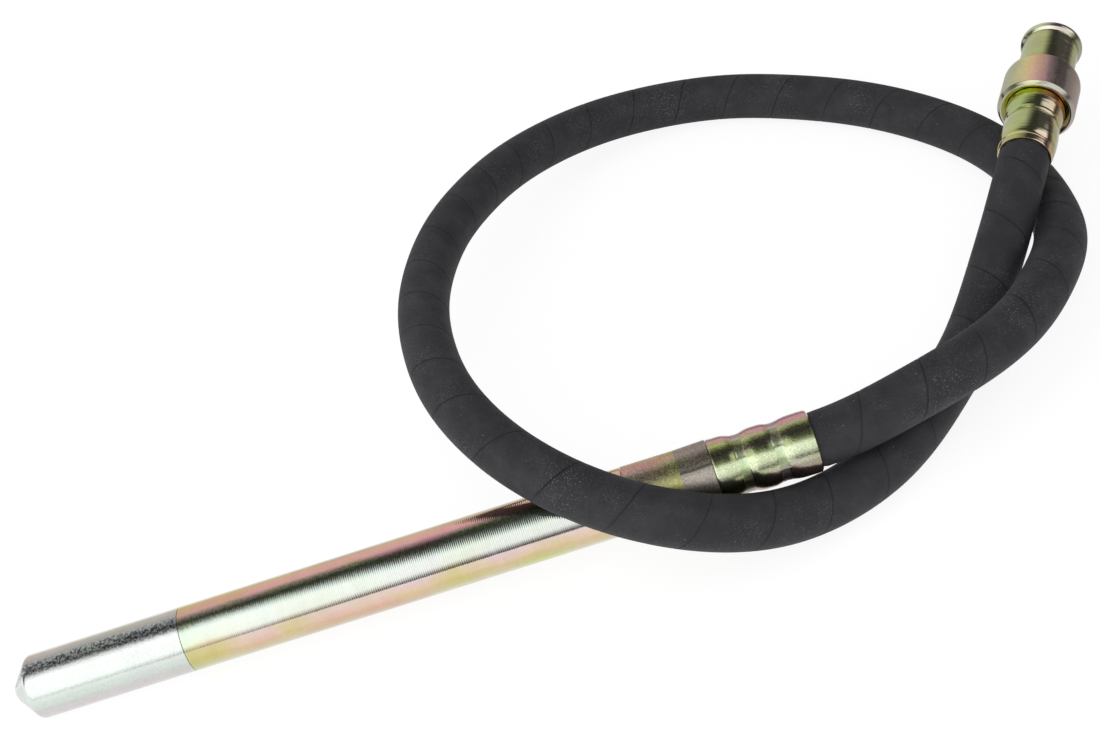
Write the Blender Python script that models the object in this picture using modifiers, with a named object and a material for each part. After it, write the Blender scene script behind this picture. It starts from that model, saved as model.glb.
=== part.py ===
# Concrete vibrator: a steel vibrating head, its flexible drive hose and the quick coupling.
# Metres, +Z up. The head lies along +X with its nose on the floor at z = 0.
import math

import bmesh
import bpy
import numpy as np
from mathutils import Euler, Matrix, Vector

# Fits
SEAT = 0.0003            # gap that touching pieces keep
RUN = 0.0003             # radial gap of a turning piece

# Head, as stations from the tip of the nose
HEAD_DIAMETER = 0.035
HEAD_TILT = 3.6          # degrees that the hose lifts the head's rear end
NOSE_CONE_LENGTH = 0.0112
NOSE_CORNER = 0.004      # radius of the rounding between cone and cylinder
NOSE_LENGTH = 0.097
PLUG_SPIGOT_LENGTH = 0.024
PLUG_RELIEF_DEPTH = 0.006
TUBE_LENGTH = 0.245
NECK_SPIGOT_LENGTH = 0.0265
NECK_LENGTH = 0.029
NECK_DIAMETER = 0.0350
NECK_TAPER = 0.0002      # radius lost along the neck
BAND_LENGTH = 0.0175
BAND_FLARE = 0.0005      # radius gained along the band
FERRULE_REVEAL = 0.001   # strip of bare hose between band and ferrule

# O-ring under the nose plug's shoulder
O_RING_SECTION = 0.0016
O_RING_SETBACK = 0.005

# Ball bearings
BEARING_OUTER = 0.028
BEARING_BORE = 0.012
BEARING_WIDTH = 0.008
BALL_DIAMETER = 0.0048
BALL_COUNT = 7
RACE_LAND = 0.0024       # thickness of a race beside its groove
CAGE_THICKNESS = 0.0012
CAGE_WIDTH = 0.0026

# Eccentric rotor
SHOULDER_DIAMETER = 0.016
SHOULDER_LENGTH = 0.0035
WEIGHT_DIAMETER = 0.0252
WEIGHT_END_DISC = 0.004
WEIGHT_FLAT = 0.002      # height of the flat above the axis
TAIL_DIAMETER = 0.0104
TAIL_REACH = 0.012       # how far the tail runs into the neck
STUB_REACH = 0.002       # front journal past its bearing

# Drive squares between the flexible core and the shafts it turns
SQUARE = 0.006
SQUARE_DEPTH = 0.010
TIP_DIAMETER = 0.0096
TIP_LENGTH = 0.012

# Retaining rings, spacer and seals
CIRCLIP_THICKNESS = 0.0012
CIRCLIP_DEPTH = 0.001    # how deep it sits in its groove
CIRCLIP_WIDTH = 0.0026
CIRCLIP_GAP = 0.007
SPACER_LENGTH = 0.007
SPACER_WALL = 0.003
SEAL_LENGTH = 0.007

# Hose, its steel liner and the flexible core
HOSE_DIAMETER = 0.030
HOSE_BORE = 0.020
CRIMPED_DIAMETER = 0.0282
LINER_DIAMETER = 0.0185
LINER_BORE = 0.0135
CORE_DIAMETER = 0.009
HOSE_RINGS = 46

# Barbed stems inside the hose ends
STEM_LENGTH = 0.048
STEM_DIAMETER = 0.0168
STEM_BORE = 0.0128
BARB_HEIGHT = 0.0008
BARB_COUNT = 4

# Crimped ferrules: bulges stand on a foot wall, and the press leaves its flats between them
JAW_COUNT = 8
JAW_WIDTH = 0.0046
FERRULE_LENGTH = 0.054
FERRULE_FOOT = 0.0020    # wall at the foot of a bulge
FIRST_CRIMP = 0.0135     # stations of the two crimps from the ferrule's end at the neck
SECOND_CRIMP = 0.0340
FIRST_CRIMP_DEPTH = 0.0008
SECOND_CRIMP_DEPTH = 0.0005
NECK_BULGE = 0.0009
MIDDLE_BULGE = 0.0005
MOUTH_BULGE = 0.0009
DRIVE_FERRULE_LENGTH = 0.052
DRIVE_FERRULE_FOOT = 0.0014
DRIVE_LIP_LENGTH = 0.0042
DRIVE_LIP_HEIGHT = 0.0010
HOSE_BULGE = 0.0012
RIDGE_STATION = 0.0322
RIDGE_WIDTH = 0.0016
RIDGE_HEIGHT = 0.0006
CUP_BULGE = 0.0010

# Quick coupling, as stations from the mouth of its ferrule
COLLAR_DIAMETER = 0.0464
COLLAR_LENGTH = 0.037
COLLAR_ROUND = 0.011
COLLAR_STOP_WIDTH = 0.0012
CUP_DEPTH = 0.012
CUP_WALL = 0.0048
CUP_OVERLAP = 0.006      # cup rim past the end of the ferrule
SPIGOT_DIAMETER = 0.034
SPIGOT_REACH = 0.0303
BEAD_HEIGHT = 0.0019
BEAD_LENGTH = 0.0058
BODY_NECK_DIAMETER = 0.029
BODY_NECK_LENGTH = 0.005
HUB_ROOM_DIAMETER = 0.018
HUB_DIAMETER = 0.0152
HUB_LENGTH = 0.009
SEAL_SETBACK = 0.0008
DOG_DIAMETER = 0.023
DOG_LENGTH = 0.014
DOG_SLOT_WIDTH = 0.008
DOG_SLOT_DEPTH = 0.007
DOG_HOLE = 0.005

# Where the coupling lies and which way it points
DRIVE_MOUTH = Vector((0.3989, 0.1722, 0.0523))
DRIVE_AZIMUTH = 60.5
DRIVE_RISE = 3.2

# Route of the hose on the floor, from the head's ferrule round to the coupling
ROUTE = [
    (0.2795, 0.0102, 0.0490), (0.3239, 0.0289, 0.0480), (0.3493, 0.0465, 0.0458), (0.3789, 0.0801, 0.0413),
    (0.4003, 0.1188, 0.0318), (0.4108, 0.1613, 0.0215), (0.4116, 0.2069, 0.0158), (0.4008, 0.2461, 0.0155),
    (0.3748, 0.2902, 0.0155), (0.3409, 0.3264, 0.0155), (0.3019, 0.3544, 0.0155), (0.2627, 0.3736, 0.0160),
    (0.2170, 0.3799, 0.0190), (0.1727, 0.3699, 0.0260), (0.1350, 0.3483, 0.0345), (0.1038, 0.3191, 0.0435),
    (0.0779, 0.2829, 0.0525), (0.0562, 0.2423, 0.0600), (0.0409, 0.1984, 0.0646), (0.0344, 0.1540, 0.0709),
    (0.0351, 0.1081, 0.0768), (0.0438, 0.0595, 0.0815), (0.0646, 0.0158, 0.0778), (0.0983, -0.0171, 0.0658),
    (0.1391, -0.0331, 0.0486), (0.1785, -0.0324, 0.0308), (0.2088, -0.0232, 0.0197), (0.2575, -0.0004, 0.0155),
    (0.3030, 0.0416, 0.0158), (0.3267, 0.0693, 0.0167), (0.3554, 0.1079, 0.0282), (0.3751, 0.1342, 0.0426),
]

# Facets round turned pieces
SIDES = 28
INNER_SIDES = 20

# Stations along the head
tube_start = NOSE_LENGTH + SEAT
tube_end = tube_start + TUBE_LENGTH
neck_start = tube_end + SEAT
band_start = neck_start + NECK_LENGTH
band_end = band_start + BAND_LENGTH
hose_start = band_end + SEAT
ferrule_start = band_end + FERRULE_REVEAL
head_mouth = ferrule_start + FERRULE_LENGTH
plug_spigot_end = tube_start + PLUG_SPIGOT_LENGTH
front_bearing = plug_spigot_end + SEAT
weight_start = front_bearing + BEARING_WIDTH + SEAT + SHOULDER_LENGTH
neck_spigot_start = neck_start - NECK_SPIGOT_LENGTH
seal_start = neck_spigot_start - SEAT - SEAL_LENGTH
spacer_start = seal_start - SEAT - SPACER_LENGTH
rear_bearing = spacer_start - SEAT - BEARING_WIDTH
weight_end = rear_bearing - SEAT - SHOULDER_LENGTH
tail_end = neck_start + TAIL_REACH
head_tip_end = tail_end + SEAT + TIP_LENGTH
head_stem_end = band_end + STEM_LENGTH

# Stations along the coupling
drive_hose_end = DRIVE_FERRULE_LENGTH
body_start = drive_hose_end + SEAT
drive_stem_end = body_start - STEM_LENGTH
collar_start = DRIVE_FERRULE_LENGTH - CUP_OVERLAP
collar_end = collar_start + COLLAR_LENGTH
spigot_end = collar_end + SPIGOT_REACH
hub_room_start = body_start + BODY_NECK_LENGTH
hub_start = hub_room_start + SEAT
drive_bearing = hub_start + HUB_LENGTH + SEAT
drive_circlip = drive_bearing + BEARING_WIDTH + SEAT
drive_seal_start = drive_circlip + CIRCLIP_THICKNESS + SEAL_SETBACK
dog_start = drive_seal_start + SEAL_LENGTH + SEAT
dog_end = dog_start + DOG_LENGTH
drive_tip_start = hub_start - SEAT - TIP_LENGTH

# Shared radii
head_radius = HEAD_DIAMETER / 2
bore_radius = BEARING_OUTER / 2 + SEAT
journal_radius = BEARING_BORE / 2 - SEAT
spigot_radius = SPIGOT_DIAMETER / 2
ferrule_bore = CRIMPED_DIAMETER / 2 + SEAT


def facet(sides):
    return math.cos(math.pi / sides)


parts = bpy.data.collections.new("concrete_vibrator")
cutters = bpy.data.collections.new("cutters")


def clear_scene():
    for obj in list(bpy.data.objects):
        bpy.data.objects.remove(obj, do_unlink=True)
    for group in (parts, cutters):
        bpy.context.scene.collection.children.link(group)


def finish(name, color, roughness, metallic):
    made = bpy.data.materials.new(name)
    made.use_nodes = True
    shader = made.node_tree.nodes["Principled BSDF"]
    shader.inputs["Base Color"].default_value = (*color, 1.0)
    shader.inputs["Roughness"].default_value = roughness
    shader.inputs["Metallic"].default_value = metallic
    return made


def zinc_white(name):
    return finish(name, (0.80, 0.81, 0.80), 0.25, 1.0)


def zinc_yellow(name):
    return finish(name, (0.72, 0.66, 0.42), 0.28, 1.0)


def bright_steel(name):
    return finish(name, (0.62, 0.63, 0.65), 0.20, 1.0)


def black_rubber(name):
    return finish(name, (0.028, 0.028, 0.031), 0.75, 0.0)


def add_part(obj, made, parent, station):
    obj.data.materials.append(made)
    parts.objects.link(obj)
    obj.parent = parent
    obj.location.z = station
    return obj


def add_cutter(obj, parent, station):
    cutters.objects.link(obj)
    obj.parent = parent
    obj.location.z = station
    obj.hide_render = True
    obj.display_type = "WIRE"
    return obj


def turned(name, outline, sides):
    # The outline runs down the outer side as (radius, height), and back up the bore if there is one
    mesh = bpy.data.meshes.new(name)
    points = [(radius, 0.0, height) for radius, height in outline]
    edges = [(i, i + 1) for i in range(len(points) - 1)]
    if outline[0][0] > 0.0:
        edges.append((len(points) - 1, 0))
    mesh.from_pydata(points, edges, [])
    obj = bpy.data.objects.new(name, mesh)
    screw = obj.modifiers.new("turn", "SCREW")
    screw.axis = "Z"
    screw.steps = sides
    screw.render_steps = sides
    screw.use_merge_vertices = True
    screw.merge_threshold = 0.00001
    obj.rotation_euler.z = math.pi / sides
    return obj


def block(name, size, centre):
    mesh = bpy.data.meshes.new(name)
    shape = bmesh.new()
    place = Matrix.Translation(Vector(centre)) @ Matrix.Diagonal((*size, 1.0))
    bmesh.ops.create_cube(shape, size=1.0, matrix=place)
    shape.to_mesh(mesh)
    shape.free()
    return bpy.data.objects.new(name, mesh)


def combine(obj, other, operation):
    boolean = obj.modifiers.new(operation.lower(), "BOOLEAN")
    boolean.operation = operation
    boolean.solver = "EXACT"
    boolean.object = other


def axis_empty(name, place, rise, azimuth):
    # An empty whose +Z runs along a line that rises from the floor at the given angles in degrees
    empty = bpy.data.objects.new(name, None)
    empty.location = place
    empty.rotation_euler = Euler((0.0, math.radians(90.0 - rise), math.radians(azimuth)))
    parts.objects.link(empty)
    return empty


def swell(start, end, crest, edge, count):
    # Stations and radii along one bulge, an arch from edge to crest and back, listed downwards
    points = []
    for i in range(count + 1):
        share = i / count
        points.append((edge + (crest - edge) * (1.0 - (2.0 * share - 1.0) ** 2), end + (start - end) * share))
    return points


def barbs(base, tip):
    # Saw teeth that let the hose on and hold it, from the base of a stem to its tip
    radius = STEM_DIAMETER / 2
    pitch = (tip - base) / (BARB_COUNT + 0.5)
    points = [(radius, base)]
    for i in range(BARB_COUNT):
        points.append((radius, base + (i + 0.5) * pitch))
        points.append((radius + BARB_HEIGHT, base + (i + 0.6) * pitch))
    points.append((radius, tip))
    return points


def nose_outline():
    # Cone and rounded corner of the nose, from its tip up to the full diameter
    slope = math.atan2(head_radius, NOSE_CONE_LENGTH)
    end = NOSE_CONE_LENGTH + NOSE_CORNER * math.tan(slope / 2)
    corner = []
    for i in range(5):
        turn = slope * (1.0 - i / 4)
        corner.append((head_radius - NOSE_CORNER * (1.0 - math.cos(turn)), end - NOSE_CORNER * math.sin(turn)))
    return [(0.0, 0.0)] + corner


def make_nose_plug(head):
    spigot = bore_radius - SEAT
    groove = bore_radius * facet(SIDES) - SEAT - O_RING_SECTION - SEAT
    ring = tube_start + O_RING_SETBACK
    half = O_RING_SECTION / 2 + SEAT
    relief = journal_radius + 2 * STUB_REACH
    outline = [(0.0, plug_spigot_end - PLUG_RELIEF_DEPTH), (relief, plug_spigot_end - PLUG_RELIEF_DEPTH)]
    outline += [(relief, plug_spigot_end), (spigot, plug_spigot_end)]
    outline += [(spigot, ring + half), (groove, ring + half), (groove, ring - half), (spigot, ring - half)]
    outline += [(spigot, NOSE_LENGTH), (head_radius, NOSE_LENGTH)]
    outline += reversed(nose_outline())
    plug = add_part(turned("nose_plug", outline, SIDES), zinc_white("nose_zinc"), head, 0.0)
    return plug


def make_o_ring(head):
    radius = O_RING_SECTION / 2
    centre = bore_radius * facet(SIDES) - SEAT - radius
    outline = []
    for i in range(6):
        turn = math.tau * i / 6
        outline.append((centre + radius * math.cos(turn), -radius * math.sin(turn)))
    ring = turned("nose_o_ring", outline, SIDES)
    add_part(ring, black_rubber("o_ring_rubber"), head, tube_start + O_RING_SETBACK)


def make_tube(head):
    groove = bore_radius + CIRCLIP_DEPTH
    ring_end = rear_bearing - SEAT
    low = ring_end - CIRCLIP_THICKNESS - SEAT
    high = ring_end + SEAT
    outline = [(head_radius, tube_end), (head_radius, tube_start), (bore_radius, tube_start)]
    outline += [(bore_radius, low), (groove + SEAT, low), (groove + SEAT, high), (bore_radius, high)]
    outline += [(bore_radius, tube_end)]
    add_part(turned("head_tube", outline, SIDES), zinc_yellow("tube_zinc"), head, 0.0)


def make_bearing(prefix, axis, station, shaft):
    # Races, and balls held in their cage, of one deep-groove bearing
    outer = BEARING_OUTER / 2
    inner = BEARING_BORE / 2
    pitch = (outer + inner) / 2
    middle = BEARING_WIDTH / 2
    groove = BALL_DIAMETER / 2 + 2 * RUN
    outer_land = outer - RACE_LAND
    inner_land = inner + RACE_LAND
    reach = math.asin((outer_land - pitch) / groove)
    turns = [reach + (math.pi - 2 * reach) * i / 3 for i in range(4)]
    arc = [(groove * math.sin(turn), -groove * math.cos(turn)) for turn in turns]
    outline = [(outer, BEARING_WIDTH), (outer, 0.0), (outer_land, 0.0)]
    outline += [(pitch + out, middle + along) for out, along in arc]
    outline += [(outer_land, BEARING_WIDTH)]
    race = turned(prefix + "_bearing_outer", outline, INNER_SIDES)
    add_part(race, bright_steel(prefix + "_outer_steel"), axis, station)
    outline = [(inner_land, BEARING_WIDTH)]
    outline += [(pitch - out, middle - along) for out, along in arc]
    outline += [(inner_land, 0.0), (inner, 0.0), (inner, BEARING_WIDTH)]
    race = turned(prefix + "_bearing_inner", outline, INNER_SIDES)
    add_part(race, bright_steel(prefix + "_inner_steel"), shaft, station)
    half = CAGE_THICKNESS / 2
    low = middle - CAGE_WIDTH / 2
    high = middle + CAGE_WIDTH / 2
    outline = [(pitch + half, high), (pitch + half, low), (pitch - half, low), (pitch - half, high)]
    cage = turned(prefix + "_bearing_balls", outline, INNER_SIDES)
    add_part(cage, bright_steel(prefix + "_ball_steel"), axis, station)
    mesh = bpy.data.meshes.new(prefix + "_balls")
    shape = bmesh.new()
    for i in range(BALL_COUNT):
        turn = math.tau * (i + 0.5) / BALL_COUNT
        place = Matrix.Translation((pitch * math.cos(turn), pitch * math.sin(turn), middle))
        bmesh.ops.create_uvsphere(shape, u_segments=8, v_segments=4, radius=BALL_DIAMETER / 2, matrix=place)
    shape.to_mesh(mesh)
    shape.free()
    balls = add_cutter(bpy.data.objects.new(prefix + "_balls", mesh), axis, station)
    combine(cage, balls, "UNION")


def square_socket(obj, parent, start, end):
    # Blind square hole for the end of the flexible core
    side = SQUARE + 2 * SEAT
    hole = block(obj.name + "_socket", (side, side, end - start), (0.0, 0.0, (start + end) / 2))
    combine(obj, add_cutter(hole, parent, 0.0), "DIFFERENCE")


def make_rotor(shaft):
    shoulder = SHOULDER_DIAMETER / 2
    weight = WEIGHT_DIAMETER / 2
    tail = TAIL_DIAMETER / 2
    journal_end = rear_bearing + BEARING_WIDTH + SEAT
    outline = [(0.0, tail_end), (tail, tail_end), (tail, journal_end), (journal_radius, journal_end)]
    outline += [(journal_radius, weight_end + SHOULDER_LENGTH), (shoulder, weight_end + SHOULDER_LENGTH)]
    outline += [(shoulder, weight_end), (weight, weight_end), (weight, weight_start), (shoulder, weight_start)]
    outline += [(shoulder, weight_start - SHOULDER_LENGTH), (journal_radius, weight_start - SHOULDER_LENGTH)]
    outline += [(journal_radius, front_bearing - STUB_REACH), (0.0, front_bearing - STUB_REACH)]
    rotor = add_part(turned("eccentric_rotor", outline, INNER_SIDES), bright_steel("rotor_steel"), shaft, 0.0)
    length = weight_end - weight_start - 2 * WEIGHT_END_DISC
    middle = (weight_start + weight_end) / 2
    size = (WEIGHT_DIAMETER, 2 * WEIGHT_DIAMETER, length)
    away = block("weight_cut", size, (-WEIGHT_FLAT - WEIGHT_DIAMETER / 2, 0.0, middle))
    combine(rotor, add_cutter(away, shaft, 0.0), "DIFFERENCE")
    square_socket(rotor, shaft, tail_end - SQUARE_DEPTH, tail_end + SQUARE_DEPTH)


def make_core_tip(name, shaft, start, towards):
    # Round shank of the flexible core's end fitting, with the square that drives or is driven
    outline = [(TIP_DIAMETER / 2, TIP_LENGTH), (TIP_DIAMETER / 2, 0.0)]
    outline = [(0.0, TIP_LENGTH)] + outline + [(0.0, 0.0)]
    tip = add_part(turned(name, outline, INNER_SIDES), bright_steel(name + "_steel"), shaft, start)
    reach = SQUARE_DEPTH - SEAT
    face = TIP_LENGTH if towards > 0 else 0.0
    root = face - towards * TIP_LENGTH / 2
    end = face + towards * reach
    size = (SQUARE, SQUARE, abs(end - root))
    key = block(name + "_square", size, (0.0, 0.0, (root + end) / 2))
    combine(tip, add_cutter(key, shaft, start), "UNION")


def make_circlip(name, axis, station, seat_radius):
    # Internal retaining ring: a flat ring with a gap and two lugs with tool holes
    outer = seat_radius + CIRCLIP_DEPTH
    inner = outer - CIRCLIP_WIDTH
    outline = [(outer, CIRCLIP_THICKNESS), (outer, 0.0), (inner, 0.0), (inner, CIRCLIP_THICKNESS)]
    ring = add_part(turned(name, outline, INNER_SIDES), bright_steel(name + "_steel"), axis, station)
    size = (outer, CIRCLIP_GAP, 4 * CIRCLIP_THICKNESS)
    gap = block(name + "_gap", size, (outer, 0.0, CIRCLIP_THICKNESS / 2))
    combine(ring, add_cutter(gap, axis, station), "DIFFERENCE")


def make_spacer(head):
    outer = bore_radius - SEAT
    inner = outer - SPACER_WALL
    outline = [(outer, SPACER_LENGTH), (outer, 0.0), (inner, 0.0), (inner, SPACER_LENGTH)]
    add_part(turned("spacer_sleeve", outline, INNER_SIDES), bright_steel("spacer_steel"), head, spacer_start)


def make_seal(name, axis, station, shaft_radius):
    # Lip seal: a rubber ring whose lip leans in to the shaft
    outer = bore_radius - SEAT
    lip = shaft_radius / facet(INNER_SIDES) + RUN
    relief = (outer + lip) / 2
    outline = [(outer, SEAL_LENGTH), (outer, 0.0), (lip, 0.0), (lip, SEAL_LENGTH / 4)]
    outline += [(relief, SEAL_LENGTH / 2), (relief, SEAL_LENGTH)]
    add_part(turned(name, outline, INNER_SIDES), black_rubber(name + "_rubber"), axis, station)


def make_neck(head):
    # Threaded spigot, tapered neck, plain band and the barbed stem that the hose is pushed on to
    spigot = bore_radius - SEAT
    neck = NECK_DIAMETER / 2
    thin = neck - NECK_TAPER
    wide = thin + BAND_FLARE
    outline = list(reversed(barbs(band_end, head_stem_end)))
    outline += [(wide, band_end), (thin, band_start), (neck, neck_start), (spigot, neck_start)]
    outline += [(spigot, neck_spigot_start), (STEM_BORE / 2, neck_spigot_start), (STEM_BORE / 2, head_stem_end)]
    add_part(turned("neck_adapter", outline, SIDES), zinc_yellow("neck_zinc"), head, 0.0)


def crimp_jaws(ferrule, axis, station, flat_radius):
    # Flats that the jaws of the press leave round one crimp, with ridges between the jaws
    far = flat_radius * 2
    outline = [(far, JAW_WIDTH / 2), (far, -JAW_WIDTH / 2)]
    outline += [(flat_radius, -JAW_WIDTH / 2), (flat_radius, JAW_WIDTH / 2)]
    outline = [(radius / facet(JAW_COUNT), height) for radius, height in outline]
    press = add_cutter(turned(ferrule.name + "_jaws", outline, JAW_COUNT), axis, station)
    combine(ferrule, press, "DIFFERENCE")


def make_head_ferrule(head):
    # Three bulges that grow towards the hose, with a crimp between each pair
    foot = ferrule_bore + FERRULE_FOOT
    outline = swell(SECOND_CRIMP, FERRULE_LENGTH, foot + MOUTH_BULGE, foot, 4)
    outline += swell(FIRST_CRIMP, SECOND_CRIMP, foot + MIDDLE_BULGE, foot, 4)[1:]
    outline += swell(-FIRST_CRIMP, FIRST_CRIMP, foot + NECK_BULGE, foot, 4)[1:3]
    outline += [(ferrule_bore, 0.0), (ferrule_bore, FERRULE_LENGTH)]
    ferrule = turned("head_ferrule", outline, SIDES)
    add_part(ferrule, zinc_yellow("head_ferrule_zinc"), head, ferrule_start)
    crimp_jaws(ferrule, head, ferrule_start + FIRST_CRIMP, foot - FIRST_CRIMP_DEPTH)
    crimp_jaws(ferrule, head, ferrule_start + SECOND_CRIMP, foot - SECOND_CRIMP_DEPTH)


def make_drive_ferrule(drive):
    # Lip at the hose, a long bulge, a thin ridge and a bulge that narrows into the cup
    foot = ferrule_bore + DRIVE_FERRULE_FOOT
    ridge = foot + RIDGE_HEIGHT
    ridge_end = RIDGE_STATION + RIDGE_WIDTH
    outline = swell(ridge_end + RIDGE_WIDTH / 2, DRIVE_FERRULE_LENGTH, foot + CUP_BULGE, foot, 4)
    outline += [(ridge, ridge_end), (ridge, RIDGE_STATION)]
    outline += swell(DRIVE_LIP_LENGTH, RIDGE_STATION - RIDGE_WIDTH / 2, foot + HOSE_BULGE, foot, 4)
    outline += [(foot + DRIVE_LIP_HEIGHT, DRIVE_LIP_LENGTH / 2), (foot + DRIVE_LIP_HEIGHT, 0.0)]
    outline += [(ferrule_bore, 0.0), (ferrule_bore, DRIVE_FERRULE_LENGTH)]
    add_part(turned("drive_ferrule", outline, SIDES), zinc_yellow("drive_ferrule_zinc"), drive, 0.0)


def make_coupling_body(drive):
    # Barbed stem, narrow neck in the cup, and the spigot whose rolled bead the drive unit latches on to
    neck = BODY_NECK_DIAMETER / 2
    groove = bore_radius + CIRCLIP_DEPTH + SEAT
    bead = swell(spigot_end - BEAD_LENGTH, spigot_end, spigot_radius + BEAD_HEIGHT, spigot_radius, 4)
    outline = bead + [(spigot_radius, hub_room_start), (neck, hub_room_start), (neck, body_start)]
    outline += barbs(body_start, drive_stem_end)
    outline += [(STEM_BORE / 2, drive_stem_end), (STEM_BORE / 2, body_start)]
    outline += [(HUB_ROOM_DIAMETER / 2, body_start), (HUB_ROOM_DIAMETER / 2, drive_bearing - SEAT)]
    outline += [(bore_radius, drive_bearing - SEAT), (bore_radius, drive_circlip - SEAT)]
    outline += [(groove, drive_circlip - SEAT), (groove, drive_circlip + CIRCLIP_THICKNESS + SEAT)]
    outline += [(bore_radius, drive_circlip + CIRCLIP_THICKNESS + SEAT), (bore_radius, spigot_end)]
    add_part(turned("coupling_body", outline, SIDES), zinc_yellow("body_zinc"), drive, 0.0)


def make_collar(drive):
    # Stop collar: a cup open towards the hose, with a rounded shoulder on the spigot's side
    outer = COLLAR_DIAMETER / 2
    bore = spigot_radius + SEAT
    stop = bore + COLLAR_STOP_WIDTH
    outline = [(stop, collar_end)]
    for i in range(1, 5):
        turn = math.pi / 2 * i / 4
        height = collar_end - COLLAR_ROUND * (1.0 - math.cos(turn))
        outline.append((stop + (outer - stop) * math.sin(turn), height))
    cup = outer - CUP_WALL
    floor = collar_start + CUP_DEPTH
    outline += [(outer, collar_start), (cup, collar_start), (cup, floor), (bore, floor), (bore, collar_end)]
    add_part(turned("coupling_collar", outline, SIDES), zinc_yellow("collar_zinc"), drive, 0.0)


def make_spindle(shaft):
    # Drive spindle: hub over the core's square, journal in the bearing and a two-jaw dog in the open spigot
    hub = HUB_DIAMETER / 2
    dog = DOG_DIAMETER / 2
    outline = [(0.0, dog_end), (dog, dog_end), (dog, dog_start), (journal_radius, dog_start)]
    outline += [(journal_radius, drive_bearing - SEAT), (hub, drive_bearing - SEAT), (hub, hub_start)]
    outline += [(0.0, hub_start)]
    spindle = add_part(turned("drive_spindle", outline, INNER_SIDES), bright_steel("spindle_steel"), shaft, 0.0)
    size = (2 * DOG_DIAMETER, DOG_SLOT_WIDTH, 2 * DOG_SLOT_DEPTH)
    slot = add_cutter(block("dog_slot", size, (0.0, 0.0, dog_end)), shaft, 0.0)
    combine(spindle, slot, "DIFFERENCE")
    square_socket(spindle, shaft, hub_start - SQUARE_DEPTH, hub_start + SQUARE_DEPTH)


def smooth_curve(knots, start_way, end_way, count):
    # Evenly spread points of a cubic spline through the knots, with a set direction at each end
    knots = np.array(knots)
    steps = np.linalg.norm(np.diff(knots, axis=0), axis=1)
    along = np.concatenate([[0.0], np.cumsum(steps)])
    size = len(knots)
    system = np.zeros((size, size))
    right = np.zeros((size, 3))
    system[0, 0] = 1.0
    system[-1, -1] = 1.0
    right[0] = start_way
    right[-1] = end_way
    for i in range(1, size - 1):
        before = steps[i - 1]
        after = steps[i]
        system[i, i - 1] = 1.0 / before
        system[i, i] = 2.0 * (1.0 / before + 1.0 / after)
        system[i, i + 1] = 1.0 / after
        climb = (knots[i] - knots[i - 1]) / before ** 2 + (knots[i + 1] - knots[i]) / after ** 2
        right[i] = 3.0 * climb
    slopes = np.linalg.solve(system, right)
    made = []
    for where in np.linspace(0.0, along[-1], count):
        i = min(int(np.searchsorted(along, where, side="right")) - 1, size - 2)
        span = steps[i]
        t = (where - along[i]) / span
        point = (1 + 2 * t) * (1 - t) ** 2 * knots[i] + t ** 2 * (3 - 2 * t) * knots[i + 1]
        point = point + span * t * (1 - t) * ((1 - t) * slopes[i] - t * slopes[i + 1])
        made.append(Vector(point))
    return made


def tube_mesh(name, points, radii, sides):
    # Mesh of a round bar along the points, with closed ends
    curve = bpy.data.curves.new(name, "CURVE")
    curve.dimensions = "3D"
    curve.bevel_mode = "ROUND"
    curve.bevel_depth = 1.0
    curve.bevel_resolution = (sides - 4) // 2
    curve.use_fill_caps = True
    spline = curve.splines.new("POLY")
    spline.points.add(len(points) - 1)
    for spot, place, radius in zip(spline.points, points, radii):
        spot.co = (*place, 1.0)
        spot.radius = radius
    rough = bpy.data.objects.new(name + "_curve", curve)
    parts.objects.link(rough)
    bpy.context.view_layer.update()
    mesh = bpy.data.meshes.new_from_object(rough.evaluated_get(bpy.context.evaluated_depsgraph_get()))
    bpy.data.objects.remove(rough)
    shape = bmesh.new()
    shape.from_mesh(mesh)
    bmesh.ops.remove_doubles(shape, verts=shape.verts, dist=0.00001)
    bmesh.ops.recalc_face_normals(shape, faces=shape.faces)
    shape.to_mesh(mesh)
    shape.free()
    mesh.name = name
    mesh.shade_smooth()
    return mesh


def along_hose(head, drive, head_station, drive_station, free):
    # The free run between the ferrules, with straight ends that reach the given stations
    inside = head.matrix_world @ Vector((0.0, 0.0, head_station))
    outside = drive.matrix_world @ Vector((0.0, 0.0, drive_station))
    return [inside] + free + [outside]


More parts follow.
